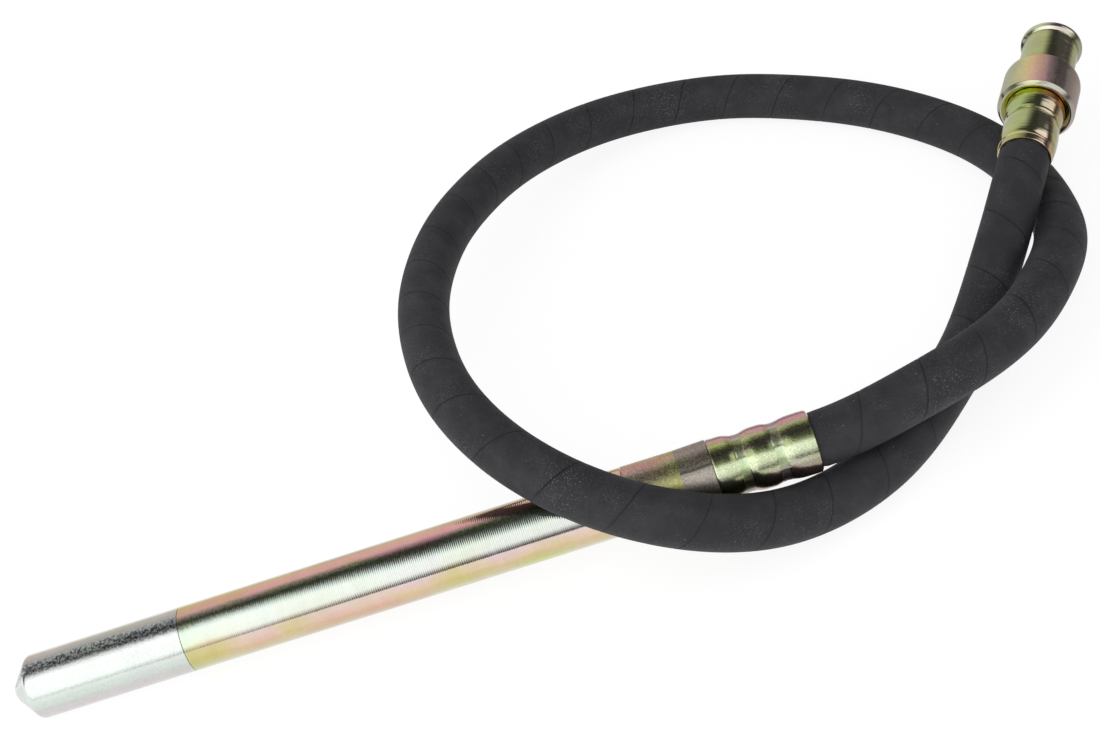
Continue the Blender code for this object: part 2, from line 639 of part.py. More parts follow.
def make_hose_set(head, drive):
    head_way = head.matrix_world.to_3x3() @ Vector((0.0, 0.0, 1.0))
    drive_way = drive.matrix_world.to_3x3() @ Vector((0.0, 0.0, 1.0))
    start = head.matrix_world @ Vector((0.0, 0.0, head_mouth))
    knots = [start] + [Vector(place) for place in ROUTE] + [DRIVE_MOUTH]
    free = smooth_curve(knots, head_way, drive_way, HOSE_RINGS)
    length = sum((free[i + 1] - free[i]).length for i in range(len(free) - 1))
    print("free hose length %.3f m" % length)
    crimped = CRIMPED_DIAMETER / 2
    radii = [crimped] * 2 + [HOSE_DIAMETER / 2] * (HOSE_RINGS - 2) + [crimped] * 2
    points = along_hose(head, drive, hose_start, drive_hose_end, free)
    mesh = tube_mesh("flexible_hose", points, radii, 12)
    hose = add_part(bpy.data.objects.new("flexible_hose", mesh), black_rubber("hose_rubber"), None, 0.0)
    points = along_hose(head, drive, hose_start - HOSE_DIAMETER, drive_hose_end + HOSE_DIAMETER, free)
    mesh = tube_mesh("hose_bore", points, [HOSE_BORE / 2] * len(points), 12)
    combine(hose, add_cutter(bpy.data.objects.new("hose_bore", mesh), None, 0.0), "DIFFERENCE")
    points = along_hose(head, drive, head_stem_end + SEAT, drive_stem_end - SEAT, free)
    mesh = tube_mesh("hose_liner", points, [LINER_DIAMETER / 2] * len(points), 8)
    liner = add_part(bpy.data.objects.new("hose_liner", mesh), bright_steel("liner_steel"), None, 0.0)
    points = along_hose(head, drive, head_stem_end - HOSE_DIAMETER, drive_stem_end + HOSE_DIAMETER, free)
    mesh = tube_mesh("liner_bore", points, [LINER_BORE / 2] * len(points), 8)
    combine(liner, add_cutter(bpy.data.objects.new("liner_bore", mesh), None, 0.0), "DIFFERENCE")
    points = along_hose(head, drive, head_tip_end + SEAT, drive_tip_start - SEAT, free)
    mesh = tube_mesh("flexible_core", points, [CORE_DIAMETER / 2] * len(points), 8)
    add_part(bpy.data.objects.new("flexible_core", mesh), bright_steel("core_steel"), None, 0.0)


def main():
    clear_scene()
    tilt = math.radians(HEAD_TILT)
    reach = head_mouth * math.cos(tilt) + head_radius * math.sin(tilt)
    rests = [r * facet(SIDES) * math.cos(tilt) - s * math.sin(tilt) for r, s in nose_outline()]
    nose_tip = Vector((-reach / 2, 0.0, max(rests)))
    head = axis_empty("head_axis", nose_tip, HEAD_TILT, 0.0)
    rotor = axis_empty("rotor_axis", nose_tip, HEAD_TILT, 0.0)
    drive = axis_empty("drive_axis", DRIVE_MOUTH, DRIVE_RISE, DRIVE_AZIMUTH)
    spindle = axis_empty("spindle_axis", DRIVE_MOUTH, DRIVE_RISE, DRIVE_AZIMUTH)
    bpy.context.view_layer.update()
    make_nose_plug(head)
    make_o_ring(head)
    make_tube(head)
    make_bearing("front", head, front_bearing, rotor)
    make_bearing("rear", head, rear_bearing, rotor)
    make_rotor(rotor)
    make_circlip("rear_circlip", head, rear_bearing - SEAT - CIRCLIP_THICKNESS, bore_radius)
    make_spacer(head)
    make_seal("head_oil_seal", head, seal_start, TAIL_DIAMETER / 2)
    make_neck(head)
    make_core_tip("head_core_tip", rotor, tail_end + SEAT, -1)
    make_head_ferrule(head)
    make_hose_set(head, drive)
    make_drive_ferrule(drive)
    make_coupling_body(drive)
    make_collar(drive)
    make_bearing("drive", drive, drive_bearing, spindle)
    make_spindle(spindle)
    make_core_tip("drive_core_tip", spindle, drive_tip_start, 1)
    make_circlip("drive_circlip", drive, drive_circlip, bore_radius)
    make_seal("drive_oil_seal", drive, drive_seal_start, journal_radius)


main()
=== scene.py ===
import math

import bmesh
import bpy
import numpy as np
from mathutils import Matrix, Vector


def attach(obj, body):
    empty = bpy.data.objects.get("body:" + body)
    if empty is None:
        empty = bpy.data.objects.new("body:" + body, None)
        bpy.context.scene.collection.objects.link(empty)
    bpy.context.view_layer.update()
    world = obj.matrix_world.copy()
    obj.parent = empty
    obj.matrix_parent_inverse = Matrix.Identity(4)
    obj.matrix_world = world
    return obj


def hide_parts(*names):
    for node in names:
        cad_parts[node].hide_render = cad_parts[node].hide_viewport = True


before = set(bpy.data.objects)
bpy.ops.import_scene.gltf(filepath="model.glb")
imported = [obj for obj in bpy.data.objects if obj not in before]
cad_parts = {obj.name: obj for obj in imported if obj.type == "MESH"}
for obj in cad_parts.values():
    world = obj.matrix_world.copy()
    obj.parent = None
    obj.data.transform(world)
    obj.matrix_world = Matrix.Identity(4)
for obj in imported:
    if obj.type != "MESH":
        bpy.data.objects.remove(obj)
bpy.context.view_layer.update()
scene = bpy.context.scene
mm = 0.001
weld = 0.000002
print("frame loaded,", len(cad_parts), "nodes")


# Camera of the photograph, solved from the head, the hose and the coupling
shot = {
    "place": (0.10052, -0.68343, 0.7220),
    "right": (0.96575, -0.16597, -0.1997),
    "ahead": (-0.00309, 0.76156, -0.6481),
    "focalPixels": 1835.0,
    "pictureWidth": 1100.0,
    "sensor": 36.0,
}


def makeCamera():
    lens = bpy.data.cameras.new("photoCamera")
    lens.sensor_fit = "HORIZONTAL"
    lens.sensor_width = shot["sensor"]
    lens.lens = shot["sensor"] * shot["focalPixels"] / shot["pictureWidth"]
    lens.clip_start = 0.01
    lens.clip_end = 50.0
    back = -Vector(shot["ahead"]).normalized()
    right = Vector(shot["right"])
    right = (right - back * right.dot(back)).normalized()
    up = back.cross(right)
    camera = bpy.data.objects.new("photoCamera", lens)
    turn = Matrix((right, up, back)).transposed().to_4x4()
    camera.matrix_world = Matrix.Translation(shot["place"]) @ turn
    scene.collection.objects.link(camera)
    scene.camera = camera


makeCamera()
scene.view_settings.view_transform = "Standard"
print("camera placed")


# Small helpers for node trees; where a value is a socket, it names its own tree
def addNode(tree, kind, **settings):
    node = tree.nodes.new(kind)
    for key, value in settings.items():
        setattr(node, key, value)
    return node


def feed(value, socket):
    if isinstance(value, bpy.types.NodeSocket):
        socket.id_data.links.new(value, socket)
    else:
        socket.default_value = value


def feedAll(values, sockets):
    for value, socket in zip(values, sockets):
        feed(value, socket)


def treeOf(*values):
    return next(value.id_data for value in values if isinstance(value, bpy.types.NodeSocket))


def calc(operation, *values):
    node = addNode(treeOf(*values), "ShaderNodeMath", operation=operation)
    feedAll(values, node.inputs)
    return node.outputs[0]


def times(first, second):
    return calc("MULTIPLY", first, second)


def remap(value, low, high, newLow, newHigh, smooth=False):
    node = addNode(treeOf(value), "ShaderNodeMapRange")
    node.interpolation_type = "SMOOTHSTEP" if smooth else "LINEAR"
    feedAll((value, low, high, newLow, newHigh), node.inputs)
    return node.outputs[0]


def ramp(value, stops, mode="LINEAR"):
    node = addNode(treeOf(value), "ShaderNodeValToRGB")
    node.color_ramp.interpolation = mode
    points = node.color_ramp.elements
    while len(points) < len(stops):
        points.new(0.5)
    for point, (place, color) in zip(points, sorted(stops)):
        point.position = place
        point.color = (*color, 1.0)
    feed(value, node.inputs[0])
    return node.outputs[0]


def blendColors(share, first, second, kind="MIX"):
    node = addNode(treeOf(share, first, second), "ShaderNodeMix", data_type="RGBA", blend_type=kind)
    feedAll((share, first, second), (node.inputs[0], node.inputs[6], node.inputs[7]))
    return node.outputs[2]


def objectSpot(tree):
    return addNode(tree, "ShaderNodeTexCoord").outputs["Object"]


def splitVector(vector):
    node = addNode(treeOf(vector), "ShaderNodeSeparateXYZ")
    feed(vector, node.inputs[0])
    return node.outputs


def joinVector(*values):
    node = addNode(treeOf(*values), "ShaderNodeCombineXYZ")
    feedAll(values, node.inputs)
    return node.outputs[0]


def addNoise(vector, scale, detail=2.0, roughness=0.5, seed=None):
    node = addNode(treeOf(vector), "ShaderNodeTexNoise", noise_dimensions="3D" if seed is None else "4D")
    labels = ("Vector", "Scale", "Detail", "Roughness")
    feedAll((vector, scale, detail, roughness), [node.inputs[label] for label in labels])
    if seed is not None:
        feed(seed, node.inputs["W"])
    return node.outputs[0]


def addBump(height, strength):
    node = addNode(treeOf(height), "ShaderNodeBump")
    node.inputs["Strength"].default_value = strength
    node.inputs["Distance"].default_value = 1.0
    feed(height, node.inputs["Height"])
    return node.outputs[0]


def diffuse(tree, level):
    node = addNode(tree, "ShaderNodeBsdfDiffuse")
    node.inputs["Color"].default_value = (level, level, level, 1.0)
    return node


def mixShaders(tree, share, first, second):
    node = addNode(tree, "ShaderNodeMixShader")
    feedAll((share, first.outputs[0], second.outputs[0]), node.inputs)
    return node


def showShader(tree, shader, kind="ShaderNodeOutputMaterial"):
    feed(shader.outputs[0], addNode(tree, kind).inputs[0])


def showSurface(tree, color, rough, **settings):
    shader = addNode(tree, "ShaderNodeBsdfPrincipled")
    for label, value in {"Base Color": color, "Roughness": rough, **settings}.items():
        feed(value, shader.inputs[label])
    showShader(tree, shader)


def newMaterial(name):
    made = bpy.data.materials.new(name)
    made.use_nodes = True
    made.node_tree.nodes.clear()
    return made, made.node_tree


def newGroup(name, inputs, outputs):
    tree = bpy.data.node_groups.new(name, "ShaderNodeTree")
    for label, value in inputs:
        socket = tree.interface.new_socket(label, in_out="INPUT", socket_type="NodeSocketFloat")
        socket.default_value = value
    for label in outputs:
        tree.interface.new_socket(label, in_out="OUTPUT", socket_type="NodeSocketFloat")
    return tree, tree.nodes.new("NodeGroupInput").outputs, tree.nodes.new("NodeGroupOutput").inputs


def place(tree, group, **values):
    node = addNode(tree, "ShaderNodeGroup", node_tree=group)
    for label, value in values.items():
        feed(value, node.inputs[label])
    return node.outputs


def meshObject(name, shape):
    mesh = bpy.data.meshes.new(name)
    shape.to_mesh(mesh)
    shape.free()
    made = bpy.data.objects.new(name, mesh)
    scene.collection.objects.link(made)
    return made


# Floor, world and studio: a white floor, one big soft lamp at the left front and a dark room round it
studio = {
    "worldFill": 0.42,
    "worldTint": (0.98, 0.99, 1.0),
    "floorRadius": 5.8,
    "floorGlow": 0.88,
    "floorShade": 0.17,
    "floorBounce": 0.8,
    "floorFade": (0.06, 0.40, 0.0, 0.42),
    "floorFadeRight": (0.42, 1.02),
    "floorRightShare": 0.92,
    "lampAim": (-0.03, 0.02, 0.02),
    "lampAzimuth": -30.0,
    "lampElevation": 47.0,
    "lampDistance": 2.2,
    "lampHeight": 4.2,
    "lampWidth": 3.4,
    "lampRadiance": 1.5,
}
room = {
    "radius": 6.0,
    "center": (0.05, 0.08, 0.03),
    "horizon": -0.004,
    "dark": 0.075,
    "lampHeight": (-5.0, 15.0, 37.5, 41.5),
    "lampSpread": (7.0, 20.0, 25.0, 45.0),
    "lampTone": (-4.0, 20.0, 0.88, 1.25),
    "lampRight": (-72.0, -42.0),
    "lampFade": (1.45, 0.50),
    "sweepTone": 0.60,
    "sweepTop": (66.0, 38.0),
    "sweepRight": (40.0, 14.0),
    "sweepLeft": (-85.0, -60.0),
    "sideTone": 1.15,
    "sideStart": (70.0, 82.0),
    "sideEnd": (128.0, 110.0),
    "sideLow": (8.0, 20.0),
    "sideHigh": (66.0, 50.0),
}


def whiteRays(tree):
    path = addNode(tree, "ShaderNodeLightPath")
    seen = calc("MAXIMUM", path.outputs["Is Camera Ray"], path.outputs["Is Glossy Ray"])
    return calc("MAXIMUM", seen, path.outputs["Is Transmission Ray"])


def makeWorld():
    world = bpy.data.worlds.new("whiteStudio")
    world.use_nodes = True
    tree = world.node_tree
    tree.nodes.clear()
    white = addNode(tree, "ShaderNodeBackground")
    white.inputs["Strength"].default_value = 1.0
    white.inputs["Color"].default_value = (1.0, 1.0, 1.0, 1.0)
    fill = addNode(tree, "ShaderNodeBackground")
    fill.inputs["Strength"].default_value = studio["worldFill"]
    fill.inputs["Color"].default_value = (*studio["worldTint"], 1.0)
    showShader(tree, mixShaders(tree, whiteRays(tree), fill, white), "ShaderNodeOutputWorld")
    scene.world = world


def makeFloor():
    bpy.ops.mesh.primitive_circle_add(vertices=96, radius=studio["floorRadius"], fill_type="NGON",
                                      location=(*room["center"][:2], 0.0))
    floor = bpy.context.object
    floor.name = "paleFloor"
    made, tree = newMaterial("paleFloor")
    bounce = diffuse(tree, studio["floorBounce"])
    shade = diffuse(tree, studio["floorShade"])
    glow = addNode(tree, "ShaderNodeEmission")
    spot = splitVector(addNode(tree, "ShaderNodeNewGeometry").outputs["Position"])
    mirrored = addNode(tree, "ShaderNodeLightPath").outputs["Is Glossy Ray"]
    rightward = calc("SQRT", remap(spot["X"], *studio["floorFadeRight"], 0.0, 1.0))
    fade = calc("MAXIMUM", remap(spot["Y"], *studio["floorFade"]),
                times(rightward, studio["floorRightShare"]))
    fade = times(fade, mirrored)
    glowing = times(calc("SUBTRACT", 1.0, fade), studio["floorGlow"])
    feed(glowing, glow.inputs["Strength"])
    both = addNode(tree, "ShaderNodeAddShader")
    feedAll((shade.outputs[0], glow.outputs[0]), both.inputs)
    showShader(tree, mixShaders(tree, whiteRays(tree), bounce, both))
    made.cycles.emission_sampling = "NONE"
    floor.data.materials.append(made)


def makeLamp():
    lamp = bpy.data.lights.new("bigRoundLamp", "AREA")
    lamp.shape = "ELLIPSE"
    lamp.size = studio["lampWidth"]
    lamp.size_y = studio["lampHeight"]
    area = math.pi * lamp.size * lamp.size_y / 4.0
    lamp.energy = studio["lampRadiance"] * math.pi * area
    way = lampWay()
    holder = bpy.data.objects.new("bigRoundLamp", lamp)
    holder.location = Vector(studio["lampAim"]) + way * studio["lampDistance"]
    holder.rotation_euler = (-way).to_track_quat("-Z", "Y").to_euler()
    holder.visible_camera = False
    holder.visible_glossy = False
    scene.collection.objects.link(holder)


def lampWay():
    around = math.radians(studio["lampAzimuth"])
    high = math.radians(studio["lampElevation"])
    return Vector((math.sin(around) * math.cos(high), -math.cos(around) * math.cos(high), math.sin(high)))


def makeRoom():
    # What bright metal mirrors: the soft lamp, a pale sweep low at the back and the dark room between them
    shape = bmesh.new()
    bmesh.ops.create_icosphere(shape, subdivisions=5, radius=room["radius"])
    shell = meshObject("darkRoom", shape)
    shell.location = room["center"]
    made, tree = newMaterial("darkRoom")
    unit = addNode(tree, "ShaderNodeVectorMath", operation="NORMALIZE")
    feed(objectSpot(tree), unit.inputs[0])
    x, y, z = splitVector(unit.outputs[0])
    degrees = 180.0 / math.pi
    leftward = times(calc("ARCSINE", x), -degrees)
    upward = times(calc("ARCTAN2", z, times(y, -1.0)), degrees)
    offset = calc("SUBTRACT", upward, remap(leftward, *room["lampHeight"]))
    offset = calc("ABSOLUTE", offset)
    offset = calc("DIVIDE", offset, remap(leftward, *room["lampSpread"]))
    lit = remap(offset, *room["lampFade"], 0.0, 1.0, smooth=True)
    lit = times(lit, remap(leftward, *room["lampTone"]))
    lit = times(lit, remap(leftward, *room["lampRight"], 0.0, 1.0, smooth=True))
    rise = times(calc("ARCSINE", z), degrees)
    side = times(calc("ARCTAN2", x, y), degrees)
    sweep = remap(rise, *room["sweepTop"], 0.0, room["sweepTone"])
    for edge in ("sweepRight", "sweepLeft"):
        sweep = times(sweep, remap(side, *room[edge], 0.0, 1.0, smooth=True))
    beside = remap(side, *room["sideStart"], 0.0, room["sideTone"], smooth=True)
    for value, edge in ((side, "sideEnd"), (rise, "sideLow"), (rise, "sideHigh")):
        beside = times(beside, remap(value, *room[edge], 0.0, 1.0, smooth=True))
    tone = calc("ADD", calc("ADD", sweep, beside), room["dark"])
    tone = calc("ADD", tone, lit)
    tone = calc("MAXIMUM", tone, calc("LESS_THAN", z, room["horizon"]))
    glow = addNode(tree, "ShaderNodeEmission")
    feed(tone, glow.inputs["Color"])
    showShader(tree, glow)
    made.cycles.emission_sampling = "NONE"
    shell.data.materials.append(made)
    for ray in ("camera", "diffuse", "transmission", "shadow", "volume_scatter"):
        setattr(shell, "visible_" + ray, False)


makeWorld()
makeFloor()
makeLamp()
makeRoom()
print("studio ready")


# Axes of the head and of the coupling: local Z runs along the piece, local X points down
axes = {
    "headTip": (-0.222161, 0.0, 0.016515),
    "headTilt": 3.6,
    "headMouth": 444.1,
    "hoseStart": 389.4,
    "driveMouth": (0.3989, 0.1722, 0.0523),
    "driveAzimuth": 60.5,
    "driveRise": 3.2,
    "hoseEnd": 52.0,
    "hoseLip": 3.0,
}


def axisFrame(start, azimuth, rise):
    around = math.radians(azimuth)
    up = math.radians(rise)
    along = Vector((math.cos(around) * math.cos(up), math.sin(around) * math.cos(up), math.sin(up)))
    down = Vector((math.cos(around) * math.sin(up), math.sin(around) * math.sin(up), -math.cos(up)))
    turn = Matrix((down, along.cross(down), along)).transposed().to_4x4()
    return Matrix.Translation(start) @ turn


headFrame = axisFrame(axes["headTip"], 0.0, axes["headTilt"])
driveFrame = axisFrame(axes["driveMouth"], axes["driveAzimuth"], axes["driveRise"])


# Hose: the route in metres, from the head's ferrule round to the coupling
hose = {
    "diameter": 0.030,
    "crimpedDiameter": 0.0282,
    "shoulder": 0.0015,
    "wrapPitch": 0.037,
    "wrapStart": 0.009,
    "seamDepth": 0.00020,
    "seamRows": (0.0, 0.35, 0.8, 1.6),
    "seamSide": 0.55,
    "plainRows": 9,
    "around": 56,
    "freeSamples": 3000,
    "endSamples": 110,
    "evenSamples": 3200,
    "route": (
        (0.2795, 0.0102, 0.0490), (0.3239, 0.0289, 0.0480), (0.3493, 0.0465, 0.0458), (0.3789, 0.0801, 0.0413),
        (0.4003, 0.1188, 0.0318), (0.4108, 0.1613, 0.0215), (0.4116, 0.2069, 0.0158), (0.4008, 0.2461, 0.0155),
        (0.3748, 0.2902, 0.0155), (0.3409, 0.3264, 0.0155), (0.3019, 0.3544, 0.0155), (0.2627, 0.3736, 0.0160),
        (0.2170, 0.3799, 0.0190), (0.1727, 0.3699, 0.0260), (0.1350, 0.3483, 0.0345), (0.1038, 0.3191, 0.0435),
        (0.0779, 0.2829, 0.0525), (0.0562, 0.2423, 0.0600), (0.0409, 0.1984, 0.0646), (0.0344, 0.1540, 0.0709),
        (0.0351, 0.1081, 0.0768), (0.0438, 0.0595, 0.0815), (0.0646, 0.0158, 0.0778), (0.0983, -0.0171, 0.0658),
        (0.1391, -0.0331, 0.0486), (0.1785, -0.0324, 0.0308), (0.2088, -0.0232, 0.0197),
        (0.2575, -0.0004, 0.0155), (0.3030, 0.0416, 0.0158), (0.3267, 0.0693, 0.0167),
        (0.3554, 0.1079, 0.0282), (0.3751, 0.1342, 0.0426),
    ),
}


def smoothCurve(knots, startWay, endWay, count):
    # Cubic spline through the knots with a set direction at each end
    knots = np.array(knots)
    steps = np.linalg.norm(np.diff(knots, axis=0), axis=1)
    along = np.concatenate([[0.0], np.cumsum(steps)])
    size = len(knots)
    system = np.eye(size)
    right = np.zeros((size, 3))
    right[0] = startWay
    right[-1] = endWay
    for i in range(1, size - 1):
        before, after = steps[i - 1], steps[i]
        system[i, i - 1:i + 2] = (1.0 / before, 2.0 * (1.0 / before + 1.0 / after), 1.0 / after)
        climb = (knots[i] - knots[i - 1]) / before ** 2 + (knots[i + 1] - knots[i]) / after ** 2
        right[i] = 3.0 * climb
    slopes = np.linalg.solve(system, right)
    where = np.linspace(0.0, along[-1], count)
    left = np.clip(np.searchsorted(along, where, side="right") - 1, 0, size - 2)
    span = steps[left][:, None]
    t = (where - along[left])[:, None] / span
    made = (1 + 2 * t) * (1 - t) ** 2 * knots[left] + t ** 2 * (3 - 2 * t) * knots[left + 1]
    return made + span * t * (1 - t) * ((1 - t) * slopes[left] - t * slopes[left + 1])


def hoseLine():
    # Straight inside each ferrule, spline between their mouths, evenly spaced by length
    headWay = np.array(headFrame.to_3x3() @ Vector((0, 0, 1)))
    driveWay = np.array(driveFrame.to_3x3() @ Vector((0, 0, 1)))
    start = np.array(headFrame @ Vector((0, 0, axes["headMouth"] * mm)))
    end = np.array(axes["driveMouth"])
    free = smoothCurve([start, *hose["route"], end], headWay, driveWay, hose["freeSamples"])
    inside = (axes["headMouth"] - axes["hoseStart"]) * mm
    shares = np.linspace(0.0, 1.0, hose["endSamples"])[1:]
    falling = np.linspace(1.0, 0.0, hose["endSamples"])[:-1]
    first = [start - headWay * inside * share for share in falling]
    last = [end + driveWay * axes["hoseEnd"] * mm * share for share in shares]
    line = np.vstack([first, free, last])
    far = np.concatenate([[0.0], np.cumsum(np.linalg.norm(np.diff(line, axis=0), axis=1))])
    even = np.linspace(0.0, far[-1], hose["evenSamples"])
    return np.column_stack([np.interp(even, far, line[:, k]) for k in range(3)]), far[-1], inside


def makeHose():
    line, length, inside = hoseLine()
    count = len(line)
    ways = np.gradient(line, axis=0)
    ways /= np.linalg.norm(ways, axis=1)[:, None]
    sides = np.cross(ways, np.array((0.0, 0.0, 1.0)))
    sides /= np.linalg.norm(sides, axis=1)[:, None]
    ups = np.cross(sides, ways)
    pitch = hose["wrapPitch"]
    near = [row * mm for row in hose["seamRows"]]
    plain = np.linspace(near[-1], pitch - near[-1], hose["plainRows"] + 2)[1:-1]
    cell = np.array(near + list(plain) + [pitch - row for row in reversed(near[1:])])
    depths = np.zeros(len(cell))
    depths[0] = 1.0
    depths[1] = depths[-1] = hose["seamSide"]
    turns = int(math.ceil(length / pitch)) + 4
    rowStations = np.concatenate([cell + pitch * (turn - 2) for turn in range(turns)])
    rowStations = rowStations + hose["wrapStart"]
    rowDepths = np.tile(depths, turns)
    perTurn = len(cell)
    around = hose["around"]
    angles = np.arange(around) * 2.0 * math.pi / around
    # Each row follows the wrap: its station falls by one pitch in a full turn
    stations = rowStations[:, None] + pitch * (1.0 - angles[None, :] / (2.0 * math.pi))
    held = np.clip(stations, 0.0, length)
    free = np.minimum(held - inside, length - (axes["hoseEnd"] - axes["hoseLip"]) * mm - held)
    swell = np.clip(free / hose["shoulder"], 0.0, 1.0)
    swell = swell * swell * (3.0 - 2.0 * swell)
    radius = hose["crimpedDiameter"] / 2 + (hose["diameter"] - hose["crimpedDiameter"]) / 2 * swell
    radius = radius - rowDepths[:, None] * hose["seamDepth"] * swell
    spots = held / length * (count - 1)
    left = np.clip(spots.astype(int), 0, count - 2)
    share = (spots - left)[..., None]
    middle = line[left] * (1 - share) + line[left + 1] * share
    side = sides[left] * (1 - share) + sides[left + 1] * share
    up = ups[left] * (1 - share) + ups[left + 1] * share
    cos, sin = np.cos(angles)[None, :, None], np.sin(angles)[None, :, None]
    skin = middle + radius[..., None] * (up * cos + side * sin)
    rows = len(rowStations)
    shape = bmesh.new()
    lay = shape.verts.layers.float_vector.new("hoseLay")
    verts = []
    for i in range(rows):
        ring = []
        for j in range(around):
            vert = shape.verts.new(skin[i, j])
            vert[lay] = (held[i, j], math.cos(angles[j]), math.sin(angles[j]))
            ring.append(vert)
        verts.append(ring)
    for i in range(rows - 1):
        for j in range(around):
            k = i if j < around - 1 else i - perTurn
            if k < 0:
                continue
            n = (j + 1) % around
            corner = [(i, j), (i + 1, j), (k + 1, n), (k, n)]
            reach = [held[c] for c in corner]
            if max(reach) <= 0.0 or min(reach) >= length:
                continue
            shape.faces.new([verts[a][b] for a, b in corner])
    bmesh.ops.delete(shape, geom=[v for v in shape.verts if not v.link_faces], context="VERTS")
    bmesh.ops.remove_doubles(shape, verts=shape.verts, dist=weld)
    bmesh.ops.dissolve_degenerate(shape, edges=shape.edges, dist=weld)
    rims = [edge for edge in shape.edges if edge.is_boundary]
    bmesh.ops.holes_fill(shape, edges=rims, sides=0)
    bmesh.ops.recalc_face_normals(shape, faces=shape.faces)
    for face in shape.faces:
        face.smooth = True
    openEdges = sum(1 for edge in shape.edges if not edge.is_manifold)
    print("hose", len(shape.verts), "points,", len(shape.faces), "faces, open edges", openEdges)
    return meshObject("rubberHose", shape), line, length


rubberHose, hosePath, hoseLength = makeHose()
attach(rubberHose, "vibrator")
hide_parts("flexible_hose")
print("hose laid, %.3f m" % hoseLength)


# Turned pieces: a closed outline of (radius, station, rounding) in millimetres, spun round local Z
sharpAngle = math.radians(32.0)


def roundedOutline(points, closed):
    made = []
    count = len(points)
    for i, point in enumerate(points):
        radius, station = point[0], point[1]
        bend = point[2] if len(point) > 2 else 0.0
        here = np.array((radius, station), float)
        if bend <= 0.0 or (not closed and i in (0, count - 1)):
            made.append(here)
            continue
        before = np.array(points[i - 1][:2], float) - here
        after = np.array(points[(i + 1) % count][:2], float) - here
        reachA, reachB = np.linalg.norm(before), np.linalg.norm(after)
        before /= reachA
        after /= reachB
        corner = math.acos(max(-1.0, min(1.0, float(before @ after))))
        back = min(bend / math.tan(corner / 2.0), reachA * 0.49, reachB * 0.49)
        bend = back * math.tan(corner / 2.0)
        start, end = here + before * back, here + after * back
        center = here + (before + after) / np.linalg.norm(before + after) * bend / math.sin(corner / 2.0)
        steps = max(2, int(math.degrees(math.pi - corner) / 8.0))
        sweep = math.pi - corner
        first, last = start - center, end - center
        guard = min(0.25, back)
        if reachA > back + 1.0:
            made.append(start + before * guard)
        for k in range(steps + 1):
            share = k / steps
            a = math.sin((1.0 - share) * sweep) / math.sin(sweep)
            b = math.sin(share * sweep) / math.sin(sweep)
            made.append(center + first * a + last * b)
        if reachB > back + 1.0:
            made.append(end + after * guard)
    return made


def turnPiece(name, points, frameOf, steps=128, squeeze=None):
    closed = points[0][0] > 0.0 or points[-1][0] > 0.0
    outline = roundedOutline(points, closed)
    shape = bmesh.new()
    rings = []
    for radius, station in outline:
        if radius < 1e-6:
            rings.append([shape.verts.new((0.0, 0.0, station * mm))])
            continue
        ring = []
        for j in range(steps):
            turn = 2.0 * math.pi * j / steps
            reach = (squeeze(radius, station, turn) if squeeze else radius) * mm
            ring.append(shape.verts.new((reach * math.cos(turn), reach * math.sin(turn), station * mm)))
        rings.append(ring)
    pairs = list(zip(rings, rings[1:] + rings[:1])) if closed else list(zip(rings, rings[1:]))
    for first, second in pairs:
        for j in range(steps):
            n = (j + 1) % steps
            picks = ((first, j), (first, n), (second, n), (second, j))
            distinct = list(dict.fromkeys(ring[k % len(ring)] for ring, k in picks))
            if len(distinct) > 2:
                shape.faces.new(distinct)
    bmesh.ops.recalc_face_normals(shape, faces=shape.faces)
    for face in shape.faces:
        face.smooth = True
    for edge in shape.edges:
        if len(edge.link_faces) == 2 and edge.calc_face_angle(0.0) > sharpAngle:
            edge.smooth = False
    made = meshObject(name, shape)
    made.matrix_world = frameOf
    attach(made, "vibrator")
    return made


stem = {"radius": 8.4, "height": 0.8, "teeth": 4}
gap = 0.3


def stemTeeth(base, tip):
    # Barbs of a stem that a hose end is pushed over
    step = (tip - base) / (stem["teeth"] + 0.5)
    made = [(stem["radius"], base)]
    for i in range(stem["teeth"]):
        made += [(stem["radius"], base + (i + 0.5) * step)]
        made += [(stem["radius"] + stem["height"], base + (i + 0.6) * step)]
    return made + [(stem["radius"], tip)]


nose = {"radius": 17.5, "coneLength": 11.2, "corner": 4.0, "length": 97.12, "edge": 0.2,
        "tip": ((0.0, -0.3), (2.6, 0.15), (5.2, 1.5)), "spigot": 14.0, "spigotEnd": 121.3, "spigotEdge": 0.5,
        "grooveStart": 101.2, "grooveEnd": 103.4, "grooveRadius": 12.0, "bore": 9.7, "boreDepth": 6.0}


def makeNose():
    spigot, groove, end = nose["spigot"], nose["grooveRadius"], nose["spigotEnd"]
    points = [*nose["tip"], (nose["radius"], nose["coneLength"], nose["corner"])]
    points += [(nose["radius"], nose["length"], nose["edge"]), (spigot, nose["length"])]
    points += [(spigot, nose["grooveStart"]), (groove, nose["grooveStart"])]
    points += [(groove, nose["grooveEnd"]), (spigot, nose["grooveEnd"])]
    points += [(spigot, end, nose["spigotEdge"]), (nose["bore"], end)]
    points += [(nose["bore"], end - nose["boreDepth"]), (0.0, end - nose["boreDepth"])]
    made = turnPiece("nosePlug", points, headFrame)
    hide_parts("nose_plug")
    return made


tube = {"radius": 17.5, "bore": 14.3, "start": 97.3, "end": 342.3, "edge": 0.2,
        "ringStart": 291.4, "ringEnd": 293.2, "ringDepth": 1.3}


def makeTube():
    edge, bore = tube["edge"], tube["bore"]
    ring = bore + tube["ringDepth"]
    points = [(tube["radius"], tube["start"], edge), (tube["radius"], tube["end"], edge)]
    points += [(bore, tube["end"], edge), (bore, tube["ringEnd"]), (ring, tube["ringEnd"])]
    points += [(ring, tube["ringStart"]), (bore, tube["ringStart"]), (bore, tube["start"], edge)]
    made = turnPiece("headTube", points, headFrame)
    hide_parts("head_tube")
    return made


